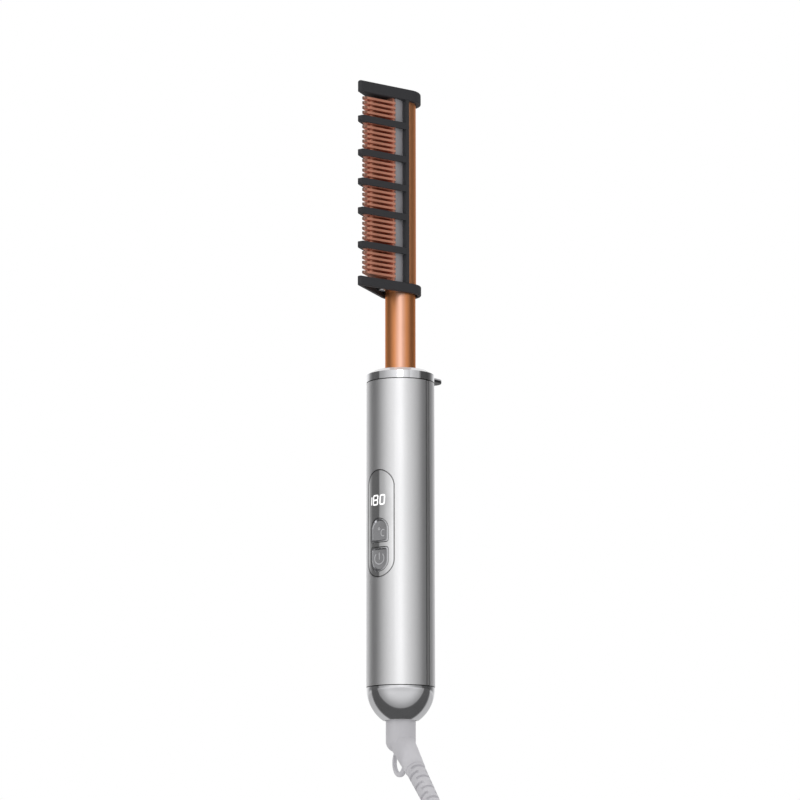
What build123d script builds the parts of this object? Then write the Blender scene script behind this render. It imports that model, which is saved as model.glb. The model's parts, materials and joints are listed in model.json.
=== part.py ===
from build123d import *
import math
import os

# An electric hot comb, upright, in millimetres.
# +Z runs up the handle to the comb head, the teeth and the buttons face -Y,
# and the origin is the middle of the handle, on its axis.

# ---------------------------------------------------------------- handle
BODY_RADIUS = 16.0
BODY_LENGTH = 143.3
SHELL_WALL = 1.8
TRIM_WIDTH = 2.6
TRIM_THICKNESS = 1.0
TRIM_GAP = 0.15
SLEEVE_GAP = 0.08
SLEEVE_WALL = 1.9
SLEEVE_DEPTH = 6.0
FACE_GAP = 0.1

COLLAR_HEIGHT = 4.0
COLLAR_BEVEL = 1.7
COLLAR_TOP_RADIUS = 13.2
SEAM_HEIGHT = 0.4
SEAM_DEPTH = 0.6
BARREL_GAP = 0.3

FOOT_REACH = 29.2
FOOT_WIDTH = 10.0
FOOT_THICKNESS = 1.95
FOOT_SEAT = 8.6
FOOT_DROP = 0.05

# ---------------------------------------------------------------- control panel
PANEL_WIDTH = 15.9
PANEL_LENGTH = 50.4
PANEL_DEPTH_FROM_TOP = 42.8
PANEL_GAP = 0.2
PANEL_INSET = 0.1
PANEL_X = -0.8
PANEL_FLANGE = 1.2
PANEL_FLANGE_WALL = 1.2

BUTTON_WIDTH = 10.4
BUTTON_LENGTH = 11.2
BUTTON_CORNER = 1.2
BUTTON_GAP = 0.25
BUTTON_EDGE = 0.2
BUTTON_FROM_TOP = 65.7
BUTTON_SPACING = 2.4
BUTTON_TRAVEL = 0.5
DISH_MARGIN = 1.1
DISH_DEPTH = 1.1
DISH_SLOPE = 30.0
BUTTON_FLANGE = 0.8
BUTTON_FLANGE_WALL = 0.8
BUTTON_REST_GAP = 0.4
STOP_GAP = 0.3

# ---------------------------------------------------------------- electronics
PCB_WIDTH = 18.0
PCB_LENGTH = 81.0
PCB_THICKNESS = 1.6
PCB_TOP_FROM_TOP = 35.6
SWITCH_SIZE = 6.0
SWITCH_BODY = 3.0
SWITCH_PLUNGER = 0.7
SWITCH_PLUNGER_RADIUS = 1.7
POST_RADIUS = 2.2
POST_SPACING = 12.4
POST_MARGIN = 5.0
SCREW_RADIUS = 1.0
SCREW_HEAD_RADIUS = 1.9
SCREW_HEAD_HEIGHT = 1.3
SCREW_LENGTH = 7.0
SCREW_DRIVE_RADIUS = 0.9
SCREW_DRIVE_DEPTH = 0.7
THREAD_GAP = 0.02
CLEAR_GAP = 0.15
DISPLAY_WIDTH = 12.6
DISPLAY_HEIGHT = 8.0
DISPLAY_FROM_TOP = 57.5
DISPLAY_GAP = 0.45
TRIAC_WIDTH = 10.0
TRIAC_LENGTH = 15.0
TRIAC_THICKNESS = 4.4
TRIAC_FROM_TOP = 71.0
CAPACITOR_RADIUS = 3.5
CAPACITOR_HEIGHT = 10.0
CAPACITOR_FROM_TOP = 99.0

# ---------------------------------------------------------------- barrel
BARREL_RADIUS = 7.2
BARREL_WALL = 0.8
BARREL_IN_HANDLE = 26.0
BUSH_BELOW_SLEEVE = 2.0
BUSH_FLOOR = 2.0
PRESS_GAP = 0.03
HEAD_ABOVE_BODY = 42.5

# ---------------------------------------------------------------- comb head
GUARD_BACK_RADIUS = 9.9
GUARD_TIP_RADIUS = 1.35
GUARD_NOSE_WALL = 3.15
BASE_THICKNESS = 4.5
BASE_FLOOR = 1.6
BASE_RIM = 1.7
BASE_NOSE = 0.3
BASE_WINDOW_INSET = 2.4
BASE_WINDOW_BACK = 12.5
CAP_THICKNESS = 5.6
CAP_ROUND = 1.0
PLATE_ROUND = 0.5

FIN_PITCH = 2.345
FIN_COUNT = 37
FIN_THICKNESS = 1.1
FIN_INSET = 1.04
FIN_REACH = 28.9
FIN_BACK = 11.4
WEB_HALF_WIDTH = 1.5
WEB_REACH = 24.5
CORE_HALF_WIDTH = 5.2
CORE_FRONT = 12.6
CORE_BACK_RADIUS = 7.5

# ribs are counted in fin pitches below the top cap
RIB_PLACES = (5.5, 12.5, 18.5, 24.5, 31.5)
RIB_THICKNESS = 3.1
RIB_GAP = 0.15
RAIL_FRONT = 6.3
RAIL_WIDTH = 1.6
RAIL_THICKNESS = 2.0
STRIP_THICKNESS = 0.75
STRIP_GAP = 0.1
STRIP_BACK = 5.5

SPIGOT_LENGTH = 12.0
LEAD_BORE_RADIUS = 5.2
BORE_ABOVE_SEAT = 2.0
BASE_SCREW_X = 3.6
BASE_SCREW_Y = 9.6
CAP_SCREW_Y = 2.8
CAP_SCREW_SINK = 1.8

HEATER_THICKNESS = 1.3
HEATER_WIDTH = 9.0
HEATER_FRONT = 9.9
HEATER_TOP_MARGIN = 8.0
INSULATION_THICKNESS = 0.2
SPRING_THICKNESS = 0.6
POCKET_GAP = 0.1
HEATER_LEAD_RADIUS = 0.6
HEATER_LEAD_X = 1.3
LEAD_GAP = 0.05
FUSE_RADIUS = 1.0
FUSE_LENGTH = 9.0
FUSE_ABOVE_BODY = 5.0
SENSOR_RADIUS = 0.95
SENSOR_LENGTH = 6.0
SENSOR_X = 2.7
SENSOR_LEAD_RADIUS = 0.25
SENSOR_LEAD_SPACING = 0.6

# ---------------------------------------------------------------- end cap and swivel
CAP_DEPTH = 15.4
CAP_LIP = 1.1
CAP_FLOOR_TOP = 7.0
CAP_FLOOR = 2.5
BOOT_RADIUS = 6.95
BOOT_GAP = 0.3
SWIVEL_YAW = -26.8
NECK_RADIUS = 4.0
NECK_GAP = 0.05
BUSHING_WALL = 1.5
BUSHING_FLANGE_RADIUS = 8.0
BUSHING_FLANGE = 1.5
CLIP_THICKNESS = 0.9
CLIP_RADIUS = 6.2
CLIP_GROOVE = 0.6
CLIP_GAP = 0.1
NECK_ABOVE_CLIP = 1.6
RING_HEIGHT = 1.2
RING_OUTER_RADIUS = 3.6
RING_INNER_RADIUS = 2.2
CENTRE_CONTACT_RADIUS = 1.1
BRUSH_RADIUS = 0.6
BRUSH_GAP = 0.1
BRUSH_LENGTH = 4.0
CONTACT_PLATE = 1.6
MAINS_LEAD_RADIUS = 0.8
MAINS_LEAD_X = 2.6
MAINS_LEAD_OVERLAP = 6.0

# ---------------------------------------------------------------- boot, relief and cord
BOOT_BELOW_RIM = 9.6
BOOT_ROUND = 5.2
ELBOW_ABOVE_ROUND = 0.4
RELIEF_LEAN = 46.5
SOCKET_LENGTH = 21.0
SOCKET_START_RADIUS = 6.0
SOCKET_END_RADIUS = 4.7
RELIEF_LENGTH = 28.0
RELIEF_START_RADIUS = 4.5
RELIEF_END_RADIUS = 3.7
RELIEF_PITCH = 3.5
RELIEF_GROOVE_WIDTH = 1.3
RELIEF_GROOVE_DEPTH = 0.7
LOOP_HOLE_RADIUS = 5.0
LOOP_RADIUS = 6.9
LOOP_THICKNESS = 1.8
LOOP_ROUND = 0.5
LOOP_X = -1.1
LOOP_DROP = 9.45
LOOP_SHIFT_X = 0.4
LOOP_SHIFT_Z = 0.2

CORD_DIAMETER = 6.0
HANK_LENGTH = 120.0
HANK_WIDTH = 44.0
HANK_DEPTH = 49.0
HANK_WAIST = 26.4
HANK_ROUND = 8.0
HANK_INSET = 4.0
TIE_HEIGHT = 12.0
TIE_THICKNESS = 1.6
TIE_GAP = 0.3

PLUG_WIDTH = 35.0
PLUG_DEPTH = 13.7
PLUG_LENGTH = 30.0
PLUG_SHOULDER = 9.0
PLUG_NECK_RADIUS = 4.6
PLUG_NECK_LENGTH = 12.0
PIN_RADIUS = 2.0
PIN_LENGTH = 19.0
PIN_SPACING = 19.0

# ---------------------------------------------------------------- worked-out heights and places
BODY_TOP = BODY_LENGTH / 2
BODY_BOTTOM = -BODY_TOP
BORE_RADIUS = BODY_RADIUS - SHELL_WALL
SLEEVE_RADIUS = BORE_RADIUS - SLEEVE_GAP
COLLAR_TOP = BODY_TOP + COLLAR_HEIGHT + COLLAR_BEVEL
BASE_BOTTOM = BODY_TOP + HEAD_ABOVE_BODY
BASE_TOP = BASE_BOTTOM + BASE_THICKNESS
CAP_BOTTOM = BASE_TOP + (FIN_COUNT + 1) * FIN_PITCH
CAP_TOP = CAP_BOTTOM + CAP_THICKNESS
GUARD_REACH = FIN_REACH + GUARD_NOSE_WALL
GUARD_TIP_CENTRE = GUARD_REACH - GUARD_TIP_RADIUS
TAPER_SINE = (GUARD_BACK_RADIUS - GUARD_TIP_RADIUS) / GUARD_TIP_CENTRE
BARREL_BORE = BARREL_RADIUS - BARREL_WALL

PANEL_TOP = BODY_TOP - PANEL_DEPTH_FROM_TOP
PANEL_CENTRE = PANEL_TOP - PANEL_LENGTH / 2
PANEL_FACE = BODY_RADIUS - PANEL_INSET
PANEL_BACK = BORE_RADIUS - FACE_GAP - PANEL_FLANGE_WALL
UPPER_FLAT = BODY_TOP - BUTTON_FROM_TOP - BUTTON_LENGTH
LOWER_FLAT = UPPER_FLAT - BUTTON_SPACING

DISH_FLOOR = PANEL_FACE - DISH_DEPTH
BUTTON_FLANGE_HALF = BUTTON_WIDTH / 2 + BUTTON_FLANGE + abs(PANEL_X)
BUTTON_PLATE_FRONT = math.sqrt(PANEL_BACK**2 - BUTTON_FLANGE_HALF**2) - BUTTON_REST_GAP
BUTTON_PLATE_BACK = BUTTON_PLATE_FRONT - BUTTON_FLANGE_WALL
PLUNGER_FRONT = BUTTON_PLATE_BACK - BUTTON_TRAVEL - STOP_GAP
PCB_FRONT = PLUNGER_FRONT - SWITCH_PLUNGER - SWITCH_BODY
PCB_BACK = PCB_FRONT - PCB_THICKNESS
PCB_TOP = BODY_TOP - PCB_TOP_FROM_TOP
PCB_BOTTOM = PCB_TOP - PCB_LENGTH

HEATER_LEAD_Y = PCB_BACK - HEATER_LEAD_RADIUS - LEAD_GAP
SENSOR_Y = PCB_BACK - SENSOR_LEAD_RADIUS - LEAD_GAP
POCKET_WIDTH = HEATER_THICKNESS + 2 * INSULATION_THICKNESS + SPRING_THICKNESS + POCKET_GAP
HEATER_BOTTOM = BASE_TOP + BORE_ABOVE_SEAT
HEATER_TOP = CAP_BOTTOM - HEATER_TOP_MARGIN

CAP_RIM = BODY_BOTTOM - CAP_DEPTH
FLOOR_TOP = BODY_BOTTOM - CAP_FLOOR_TOP
FLOOR_BOTTOM = FLOOR_TOP - CAP_FLOOR
BOOT_TOP = FLOOR_BOTTOM - BOOT_GAP
BUSHING_TOP = FLOOR_TOP + BUSHING_FLANGE
CLIP_BOTTOM = BUSHING_TOP + CLIP_GAP
NECK_TOP = CLIP_BOTTOM + CLIP_THICKNESS + NECK_ABOVE_CLIP
RINGS_TOP = NECK_TOP + RING_HEIGHT
BRUSH_BOTTOM = RINGS_TOP + BRUSH_GAP
CONTACT_PLATE_BOTTOM = BRUSH_BOTTOM + BRUSH_LENGTH
CONTACT_PLATE_TOP = CONTACT_PLATE_BOTTOM + CONTACT_PLATE

ROUND_TOP = CAP_RIM - BOOT_BELOW_RIM
BOOT_BOTTOM = ROUND_TOP - BOOT_ROUND
ELBOW = Vector(0, 0, ROUND_TOP + ELBOW_ABOVE_ROUND)
RELIEF_AIM = Vector(math.sin(math.radians(RELIEF_LEAN)), 0, -math.cos(math.radians(RELIEF_LEAN)))
RELIEF_START = ELBOW + RELIEF_AIM * SOCKET_LENGTH
RELIEF_END = RELIEF_START + RELIEF_AIM * RELIEF_LENGTH
LOOP_CENTRE_Z = ROUND_TOP - LOOP_DROP

# The cord's route, in the swivel's own frame: X towards the side that the relief leans to.
FIRST_RUN = 13.0
CORD_ROUTE = (
    (RELIEF_END.X, 0.0, RELIEF_END.Z),
    (RELIEF_END.X + RELIEF_AIM.X * FIRST_RUN, 0.0, RELIEF_END.Z + RELIEF_AIM.Z * FIRST_RUN),
    (50.8, 0.3, -152.6),
    (52.9, 0.6, -166.8),
    (53.4, 0.0, -181.0),
    (53.4, 0.0, -194.5),
)
HANK_TOP = CORD_ROUTE[-1][2]
HANK_X = CORD_ROUTE[-1][0] - HANK_DEPTH / 2 + HANK_INSET
HANK_BOTTOM = HANK_TOP - HANK_LENGTH
LEAD_X = HANK_X - HANK_DEPTH / 2 + HANK_INSET
LEAD_ROUTE = (
    (LEAD_X, 0.0, HANK_BOTTOM),
    (LEAD_X, 0.0, HANK_BOTTOM - 6.0),
    (LEAD_X + 0.8, 0.4, HANK_BOTTOM - 12.0),
    (LEAD_X + 0.8, 0.4, HANK_BOTTOM - 18.0),
)
PLUG_TOP = LEAD_ROUTE[-1][2]
PLUG_BOTTOM = PLUG_TOP - PLUG_NECK_LENGTH - PLUG_LENGTH
ARC_SHARE = 0.45


# ---------------------------------------------------------------- helpers
def disc(radius, bottom, top, x=0.0, y=0.0):
    """An upright cylinder between two heights."""
    return Pos(x, y, bottom) * extrude(Circle(radius), top - bottom)


def ring(outer, inner, bottom, top):
    """An upright tube between two heights."""
    return Pos(0, 0, bottom) * extrude(Circle(outer) - Circle(inner), top - bottom)


def block(x0, x1, y0, y1, z0, z1):
    """A box between two corners."""
    centre = ((x0 + x1) / 2, (y0 + y1) / 2, (z0 + z1) / 2)
    return Pos(*centre) * Box(x1 - x0, y1 - y0, z1 - z0)


def nose_at(inset, reach):
    """The nose radius of the outline drawn in by inset whose tip is at reach."""
    return (GUARD_BACK_RADIUS - inset - reach * TAPER_SINE) / (1 - TAPER_SINE)


def teardrop(inset, nose):
    """The head's outline in plan, drawn in by inset, with a nose of the given radius."""
    back = GUARD_BACK_RADIUS - inset
    cosine = math.sqrt(1 - TAPER_SINE**2)
    centre = (back - nose) / TAPER_SINE
    reach = centre + nose
    side = (back * cosine, -back * TAPER_SINE)
    front = (nose * cosine, -centre - nose * TAPER_SINE)
    edges = [
        Line(side, front),
        ThreePointArc(front, (0, -reach), (-front[0], front[1])),
        Line((-front[0], front[1]), (-side[0], side[1])),
        ThreePointArc((-side[0], side[1]), (0, back), side),
    ]
    return make_face(edges)


def slab(sketch, bottom, top):
    """A plan outline as a plate between two heights."""
    return Pos(0, 0, bottom) * extrude(sketch, top - bottom)


def facing(sketch, near, far):
    """A front-view outline (X, Z) as a block from near to far in front of the axis."""
    plane = Plane(origin=(0, -near, 0), x_dir=(1, 0, 0), z_dir=(0, -1, 0))
    return extrude(plane * sketch, far - near)


def pill(width, length, centre_z):
    """An upright slot with full-round ends."""
    return Pos(PANEL_X, centre_z) * Rot(0, 0, 90) * SlotOverall(length, width)


def half_round(width, length, corner, flat_z, upward):
    """A D outline: one end full round, the other flat, at flat_z."""
    radius = width / 2
    straight = length - radius
    outline = Pos(0, straight) * Circle(radius)
    outline += Pos(0, straight / 2) * Rectangle(width, straight)
    corners = outline.vertices().group_by(Axis.Y)[0]
    outline = fillet(corners, corner)
    turn = 0 if upward else 180
    return Pos(PANEL_X, flat_z) * Rot(0, 0, turn) * outline


def screw(x, y, head_z, down=True):
    """A small pan-head screw, its head seated at head_z, its shank running down or up."""
    body = disc(SCREW_RADIUS, -SCREW_LENGTH, 0)
    head = disc(SCREW_HEAD_RADIUS, 0, SCREW_HEAD_HEIGHT)
    head = fillet(head.edges().group_by(Axis.Z)[-1], SCREW_HEAD_HEIGHT / 3)
    drive = slab(RegularPolygon(SCREW_DRIVE_RADIUS, 6), SCREW_HEAD_HEIGHT - SCREW_DRIVE_DEPTH, SCREW_HEAD_HEIGHT)
    piece = body + head - drive
    if not down:
        piece = Rot(180, 0, 0) * piece
    return Pos(x, y, head_z) * piece


def route_curve(points):
    """Straight runs joined by the largest tangent arcs that the runs allow."""
    places = [Vector(*p) for p in points]
    radii = []
    for before, here, after in zip(places, places[1:], places[2:]):
        run = min((here - before).length, (after - here).length)
        turn = math.radians((here - before).get_angle(after - here))
        radii.append(ARC_SHARE * run / math.tan(turn / 2))
    print("arc radii", [round(r, 1) for r in radii])
    return FilletPolyline(*places, radius=radii)


def tube(points, diameter):
    """A round cord along a route."""
    path = route_curve(points)
    start = Plane(origin=path @ 0, z_dir=path % 0)
    piece = sweep(start * Circle(diameter / 2), path=path)
    ideal = math.pi * diameter**2 / 4 * path.length
    print("tube length", round(path.length, 2), "volume share", round(piece.volume / ideal, 5))
    return piece


def along(start, aim, sketch, length):
    """A section carried in a straight line from start along aim."""
    return extrude(Plane(origin=start, z_dir=aim) * sketch, length)


def swung(shape):
    """Turns a piece of the swivel from its own frame to where it stands."""
    return Rot(0, 0, SWIVEL_YAW) * shape


# ---------------------------------------------------------------- handle body
def shell_half(front):
    """Half of the handle's tube, with a rebate for the side trims along both edges."""
    side = -1 if front else 1
    half = ring(BODY_RADIUS, BORE_RADIUS, BODY_BOTTOM, BODY_TOP)
    reach = 2 * BODY_RADIUS
    half -= block(-reach, reach, *sorted((0, -side * reach)), BODY_BOTTOM, BODY_TOP)
    rebate = ring(reach, BODY_RADIUS - TRIM_THICKNESS, BODY_BOTTOM, BODY_TOP)
    rebate &= block(-reach, reach, -TRIM_WIDTH / 2, TRIM_WIDTH / 2, BODY_BOTTOM, BODY_TOP)
    return half - rebate


def front_shell():
    """The front half, with the opening that takes the control panel."""
    opening = pill(PANEL_WIDTH + 2 * PANEL_GAP, PANEL_LENGTH + 2 * PANEL_GAP, PANEL_CENTRE)
    return shell_half(front=True) - facing(opening, PANEL_WIDTH / 2, 2 * BODY_RADIUS)


def post_places():
    """Where the circuit board's four screws stand, as (x, z)."""
    heights = (PCB_BOTTOM + POST_MARGIN, PCB_TOP - POST_MARGIN)
    return [(x * POST_SPACING / 2, z) for z in heights for x in (-1, 1)]


def back_shell():
    """The back half, with four posts that carry the circuit board."""
    shell = shell_half(front=False)
    wall = math.sqrt(BORE_RADIUS**2 - (POST_SPACING / 2 + POST_RADIUS) ** 2) + SHELL_WALL / 2
    for x, z in post_places():
        shell += facing(Pos(x, z) * Circle(POST_RADIUS), -wall, PCB_BACK)
    for x, z in post_places():
        pilot = Pos(x, z) * Circle(SCREW_RADIUS + THREAD_GAP)
        shell -= facing(pilot, PCB_BACK - SCREW_LENGTH, PCB_BACK)
    return shell


def side_trim(side):
    """A slim strip that closes the joint between the two shells."""
    inner = BODY_RADIUS - TRIM_THICKNESS + FACE_GAP
    strip = ring(BODY_RADIUS, inner, BODY_BOTTOM + FACE_GAP, BODY_TOP - FACE_GAP)
    half = TRIM_WIDTH / 2 - TRIM_GAP
    reach = 2 * BODY_RADIUS
    return strip & block(*sorted((0, side * reach)), -half, half, BODY_BOTTOM, BODY_TOP)


def foot_outline(extra=0.0):
    """The rest foot's tongue: straight sides and a round end, behind the axis."""
    half = FOOT_WIDTH / 2 + extra
    end = FOOT_REACH - FOOT_WIDTH / 2
    tongue = Pos(0, (FOOT_SEAT - extra + end) / 2) * Rectangle(2 * half, end - FOOT_SEAT + extra)
    return tongue + Pos(0, end) * Circle(half)


def rest_foot():
    """The foot that keeps the hot head off the table when the tool lies on its back."""
    top = COLLAR_TOP - FOOT_DROP
    foot = slab(foot_outline(), top - FOOT_THICKNESS, top)
    rim = foot.edges().group_by(Axis.Y)[-1]
    return fillet(rim, FOOT_THICKNESS / 4)


def collar_ring():
    """The bright ring that closes the handle's top, with a sleeve inside the shells."""
    bore = BARREL_RADIUS + BARREL_GAP
    profile = make_face(
        Polyline(
            (bore, COLLAR_TOP),
            (COLLAR_TOP_RADIUS, COLLAR_TOP),
            (BODY_RADIUS, BODY_TOP + COLLAR_HEIGHT),
            (BODY_RADIUS, BODY_TOP + SEAM_HEIGHT),
            (BODY_RADIUS - SEAM_DEPTH, BODY_TOP + SEAM_HEIGHT),
            (BODY_RADIUS - SEAM_DEPTH, BODY_TOP),
            (SLEEVE_RADIUS, BODY_TOP),
            (SLEEVE_RADIUS, BODY_TOP - SLEEVE_DEPTH),
            (SLEEVE_RADIUS - SLEEVE_WALL, BODY_TOP - SLEEVE_DEPTH),
            (SLEEVE_RADIUS - SLEEVE_WALL, BODY_TOP + SLEEVE_WALL),
            (bore, BODY_TOP + SLEEVE_WALL),
            close=True,
        )
    )
    collar = revolve(Plane.XZ * profile, Axis.Z)
    top = COLLAR_TOP - FOOT_DROP
    return collar - slab(foot_outline(FOOT_DROP), top - FOOT_THICKNESS - FOOT_DROP, COLLAR_TOP + 1)


# ---------------------------------------------------------------- control panel
def button_outline(flat_z, upward, grow=0.0):
    """A button's D outline, drawn out by grow."""
    start = flat_z - grow if upward else flat_z + grow
    width = BUTTON_WIDTH + 2 * grow
    corner = max(BUTTON_CORNER + grow, BUTTON_CORNER / 2)
    return half_round(width, BUTTON_LENGTH + 2 * grow, corner, start, upward)


def control_panel():
    """The glossy panel, flush with the front shell, with a flange behind the shell's wall."""
    near = PANEL_WIDTH / 2
    face = facing(pill(PANEL_WIDTH, PANEL_LENGTH, PANEL_CENTRE), near, 2 * BODY_RADIUS)
    face &= ring(PANEL_FACE, PANEL_BACK, BODY_BOTTOM, BODY_TOP)
    grow = 2 * PANEL_FLANGE
    flange = facing(pill(PANEL_WIDTH + grow, PANEL_LENGTH + grow, PANEL_CENTRE), near, 2 * BODY_RADIUS)
    flange &= ring(BORE_RADIUS - FACE_GAP, PANEL_BACK, BODY_BOTTOM, BODY_TOP)
    panel = face + flange
    for flat_z, upward in ((UPPER_FLAT, True), (LOWER_FLAT, False)):
        panel -= facing(button_outline(flat_z, upward, BUTTON_GAP), near, 2 * BODY_RADIUS)
    return panel


def button(flat_z, upward):
    """A push button: a dished key through the panel, on a plate that the panel holds in."""
    key = facing(button_outline(flat_z, upward), BUTTON_PLATE_FRONT, 2 * BODY_RADIUS)
    key &= disc(PANEL_FACE, BODY_BOTTOM, BODY_TOP)
    key = fillet([e for e in key.edges() if e.bounding_box().max.Y < -DISH_FLOOR], BUTTON_EDGE)
    plate = facing(button_outline(flat_z, upward, BUTTON_FLANGE), BUTTON_PLATE_BACK, BUTTON_PLATE_FRONT)
    floor = Plane(origin=(0, -DISH_FLOOR, 0), x_dir=(1, 0, 0), z_dir=(0, -1, 0))
    dish = floor * button_outline(flat_z, upward, -DISH_MARGIN)
    return key + plate - extrude(dish, 2 * DISH_DEPTH, taper=-DISH_SLOPE)


def button_centre(flat_z, upward):
    """The height of the middle of a button."""
    half = BUTTON_LENGTH / 2
    return flat_z + half if upward else flat_z - half


# ---------------------------------------------------------------- electronics
def main_board():
    """The circuit board, with holes for its four screws."""
    board = block(-PCB_WIDTH / 2, PCB_WIDTH / 2, -PCB_FRONT, -PCB_BACK, PCB_BOTTOM, PCB_TOP)
    for x, z in post_places():
        board -= facing(Pos(x, z) * Circle(SCREW_RADIUS + CLEAR_GAP), PCB_BACK, PCB_FRONT)
    return board


def board_screws():
    """Four screws from the front, through the board and into the posts."""
    return [
        Pos(x, -PCB_FRONT, z) * Rot(90, 0, 0) * screw(0, 0, 0)
        for x, z in post_places()
    ]


def tact_switch(height):
    """A tact switch on the board, behind one button."""
    half = SWITCH_SIZE / 2
    place = Pos(PANEL_X, height)
    body = facing(place * Rectangle(2 * half, 2 * half), PCB_FRONT, PCB_FRONT + SWITCH_BODY)
    plunger = facing(place * Circle(SWITCH_PLUNGER_RADIUS), PCB_FRONT + SWITCH_BODY, PLUNGER_FRONT)
    return body + plunger


def display_module():
    """The three-digit display block, behind the upper part of the panel."""
    side = DISPLAY_WIDTH / 2 + abs(PANEL_X)
    front = math.sqrt(PANEL_BACK**2 - side**2) - DISPLAY_GAP
    height = BODY_TOP - DISPLAY_FROM_TOP
    return facing(Pos(PANEL_X, height) * Rectangle(DISPLAY_WIDTH, DISPLAY_HEIGHT), PCB_FRONT, front)


def triac():
    height = BODY_TOP - TRIAC_FROM_TOP
    return facing(Pos(0, height) * Rectangle(TRIAC_WIDTH, TRIAC_LENGTH), PCB_BACK - TRIAC_THICKNESS, PCB_BACK)


def capacitor():
    height = BODY_TOP - CAPACITOR_FROM_TOP
    return facing(Pos(0, height) * Circle(CAPACITOR_RADIUS), PCB_BACK - CAPACITOR_HEIGHT, PCB_BACK)


# ---------------------------------------------------------------- barrel and bush
def barrel_bush():
    """The insulating bush that holds the barrel in the handle."""
    top = BODY_TOP - SLEEVE_DEPTH - BUSH_BELOW_SLEEVE
    seat = BODY_TOP - BARREL_IN_HANDLE
    bush = disc(BORE_RADIUS - SLEEVE_GAP, seat - BUSH_FLOOR, top)
    bush -= disc(BARREL_RADIUS + PRESS_GAP, seat, top)
    return bush - disc(LEAD_BORE_RADIUS, seat - BUSH_FLOOR, seat)


def barrel_tube():
    return ring(BARREL_RADIUS, BARREL_BORE, BODY_TOP - BARREL_IN_HANDLE, BASE_TOP)


# ---------------------------------------------------------------- comb head
def fin_height(number):
    """The middle of a fin, counted from the top."""
    return CAP_BOTTOM - (number + 1) * FIN_PITCH


def pocket_x():
    """The heater pocket's two walls."""
    return -POCKET_WIDTH / 2, POCKET_WIDTH / 2


def comb_body():
    """The heated body in one piece: round back, core, web, wedge-shaped fins and spigot."""
    body = disc(CORE_BACK_RADIUS, BASE_TOP, CAP_BOTTOM)
    body += block(-CORE_HALF_WIDTH, CORE_HALF_WIDTH, -CORE_FRONT, 0, BASE_TOP, CAP_BOTTOM)
    web_front = WEB_REACH - WEB_HALF_WIDTH
    web_bottom = fin_height(FIN_COUNT - 1) - FIN_THICKNESS / 2
    web_top = fin_height(0) + FIN_THICKNESS / 2
    body += block(-WEB_HALF_WIDTH, WEB_HALF_WIDTH, -web_front, -CORE_FRONT / 2, web_bottom, web_top)
    body += disc(WEB_HALF_WIDTH, web_bottom, web_top, 0, -web_front)
    body += disc(BARREL_BORE - PRESS_GAP, BASE_TOP - SPIGOT_LENGTH, BASE_TOP)
    blade = teardrop(FIN_INSET, nose_at(FIN_INSET, FIN_REACH))
    blade &= Pos(0, -FIN_BACK - FIN_REACH / 2) * Rectangle(2 * FIN_REACH, FIN_REACH)
    fins = [
        slab(blade, fin_height(n) - FIN_THICKNESS / 2, fin_height(n) + FIN_THICKNESS / 2)
        for n in range(FIN_COUNT)
    ]
    body = body + fins
    low, high = pocket_x()
    cuts = [
        disc(LEAD_BORE_RADIUS, BASE_TOP - SPIGOT_LENGTH, HEATER_BOTTOM),
        block(low, high, -HEATER_FRONT - POCKET_GAP, -HEATER_FRONT + HEATER_WIDTH + POCKET_GAP,
              HEATER_BOTTOM, HEATER_TOP),
        disc(SENSOR_RADIUS + FACE_GAP / 2, HEATER_BOTTOM, HEATER_BOTTOM + SENSOR_LENGTH + FACE_GAP,
             SENSOR_X, -SENSOR_Y),
        disc(SCREW_RADIUS + THREAD_GAP, CAP_BOTTOM - SCREW_LENGTH, CAP_BOTTOM, 0, CAP_SCREW_Y),
    ]
    for side in (-1, 1):
        cuts.append(disc(SCREW_RADIUS + THREAD_GAP, BASE_TOP, BASE_TOP + SCREW_LENGTH - BASE_FLOOR,
                         side * BASE_SCREW_X, -BASE_SCREW_Y))
    return body - cuts


def side_strip(side):
    """The plain strip between the fins and the rail, on the core's flat flank."""
    inner = side * (CORE_HALF_WIDTH + FACE_GAP / 2)
    outer = side * (CORE_HALF_WIDTH + STRIP_THICKNESS)
    front = -FIN_BACK + STRIP_GAP
    return block(*sorted((inner, outer)), front, -STRIP_BACK, BASE_TOP, CAP_BOTTOM)


def guard_band():
    """The guard's wall in plan: the head's outline less the space that the fins fill."""
    inset = FIN_INSET - RIB_GAP
    return teardrop(0, GUARD_TIP_RADIUS) - teardrop(inset, nose_at(inset, FIN_REACH + RIB_GAP))


def guard_rail(side):
    """An upright rail that joins the top cap, the ribs and the base plate on one side."""
    wall = teardrop(0, GUARD_TIP_RADIUS) - teardrop(RAIL_THICKNESS, BASE_NOSE)
    reach = 2 * GUARD_BACK_RADIUS
    middle = -RAIL_FRONT + RAIL_WIDTH / 2
    wall &= Pos(side * reach / 2, middle) * Rectangle(reach, RAIL_WIDTH)
    return slab(wall, BASE_TOP, CAP_BOTTOM)


def guard_rib(place):
    """One rib: a band that runs round the fins' tips from rail to rail, with a full-round nose."""
    depth = GUARD_REACH
    band = guard_band() & Pos(0, -RAIL_FRONT - depth / 2) * Rectangle(2 * depth, depth)
    middle = CAP_BOTTOM - place * FIN_PITCH
    half = RIB_THICKNESS / 2
    reach = 2 * GUARD_BACK_RADIUS
    side_view = block(-reach, reach, half - depth, 0, middle - half, middle + half)
    side_view += Pos(0, half - depth, middle) * Rot(0, 90, 0) * Cylinder(half, 2 * reach)
    return slab(band, middle - half, middle + half) & side_view


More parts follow.
